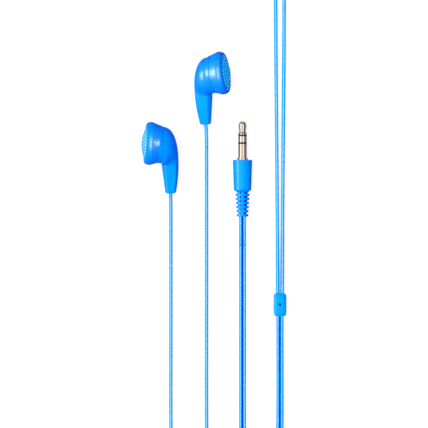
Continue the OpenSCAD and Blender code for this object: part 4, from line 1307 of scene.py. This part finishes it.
insulator_finish = moulded(
    "black_insulator", (0.012, 0.012, 0.014), (0.006, 0.006, 0.008),
    patch=1, grain=0.2, rough=0.2, skin=0.1, Specular_IOR_Level=0.5,
)
wear(insulator_finish, *[CONTACT_PIECES[n] for n in ("tip_insulator", "ring_insulator")])
tie_finish = moulded(
    "tie_plastic", (0.03, 0.03, 0.034), (0.015, 0.015, 0.018), patch=3, grain=0.3, rough=0.45, skin=0.3,
    Specular_IOR_Level=0.4,
)
wear(tie_finish, tie)

# %% [markdown]
# ## Inside the ear-buds
# Most of the driver is hidden, but its cloth shows through the grille, and the rest is seen when a part
# is taken off. These solids stay as they are and only get a finish. A weave and a winding are both waves:
# two crossed ones make cloth, and one along the axis makes turns of wire.

# %% Inner metals
PLATED_SPREAD = 0.06


def both_sides(*names):
    return [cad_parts[f"{side}_{name}"] for side in LIES for name in names]


def plated(name, dark, bright, size, rough):
    finish, tree, shader, where = new_finish(name, Metallic=1.0)
    mottle = noise(tree, where, size, detail=4)
    tree.links.new(blend_tones(tree, mottle, dark, bright), shader.inputs["Base Color"])
    rough_range = (rough - PLATED_SPREAD, rough + PLATED_SPREAD)
    tree.links.new(spread(tree, mottle, *rough_range), shader.inputs["Roughness"])
    raise_skin(tree, shader, mottle, strength=0.1, depth=0.02)
    return finish


brass_finish = plated("brass", (0.60, 0.38, 0.12), (0.80, 0.56, 0.22), size=0.6, rough=0.3)
wear(brass_finish, *both_sides("spacer_ring"))
iron_finish = plated("soft_iron", (0.30, 0.31, 0.33), (0.46, 0.47, 0.49), size=0.7, rough=0.4)
wear(iron_finish, *both_sides("top_plate", "yoke", "crimp_sleeve"))
magnet_finish = plated("magnet_plating", (0.42, 0.42, 0.42), (0.60, 0.60, 0.61), size=0.5, rough=0.22)
wear(magnet_finish, *both_sides("magnet"))

# %% Inner plastics, film, board and felt
plastic_finish = moulded(
    "driver_plastic", (0.74, 0.77, 0.80), (0.62, 0.65, 0.68), patch=2, grain=0.3, rough=0.45, skin=0.2
)
wear(plastic_finish, *both_sides("driver_frame"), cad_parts["plug_core"])
film_finish = moulded(
    "film", (0.66, 0.76, 0.80), (0.50, 0.60, 0.65), patch=1.2, grain=0.15, rough=0.2, skin=0.1,
    Transmission_Weight=0.5,
)
wear(film_finish, *both_sides("surround", "dome"))
board_finish = moulded(
    "circuit_board", (0.02, 0.20, 0.07), (0.01, 0.13, 0.05), patch=0.8, grain=0.15, rough=0.3, skin=0.2
)
wear(board_finish, *both_sides("terminal_board"))
felt_finish = moulded(
    "felt", (0.80, 0.78, 0.72), (0.55, 0.53, 0.48), patch=0.35, grain=0.08, rough=0.92, skin=0.9
)
wear(felt_finish, *both_sides("vent_felt"))

# %% Cloth and copper
WAVE_RATE = 20
THREAD = 0.02
WIRE = 0.01


def wave(tree, where, size, axis):
    inputs = {"Vector": where, "Scale": 1 / (size * MM) / WAVE_RATE, "Distortion": 0.3}
    return add_node(tree, "ShaderNodeTexWave", inputs, bands_direction=axis).outputs["Fac"]


cloth_finish, tree, shader, where = new_finish("dust_cloth", Roughness=0.9)
threads = math_node(tree, "MULTIPLY", wave(tree, where, THREAD, "Y"), wave(tree, where, THREAD, "Z"))
weave = blend_tones(tree, threads, (0.0, 0.10, 0.55), (0.0, 0.22, 0.85))
tree.links.new(weave, shader.inputs["Base Color"])
raise_skin(tree, shader, threads, strength=0.5, depth=0.05)
wear(cloth_finish, *both_sides("dust_cloth"))

copper_finish, tree, shader, where = new_finish("copper_wire", Metallic=1.0, Roughness=0.28)
turns = wave(tree, where, WIRE, "X")
winding = blend_tones(tree, turns, (0.40, 0.14, 0.05), (0.86, 0.40, 0.18))
tree.links.new(winding, shader.inputs["Base Color"])
raise_skin(tree, shader, turns, strength=0.5, depth=0.04)
wear(copper_finish, *both_sides("voice_coil", "inner_leads"))
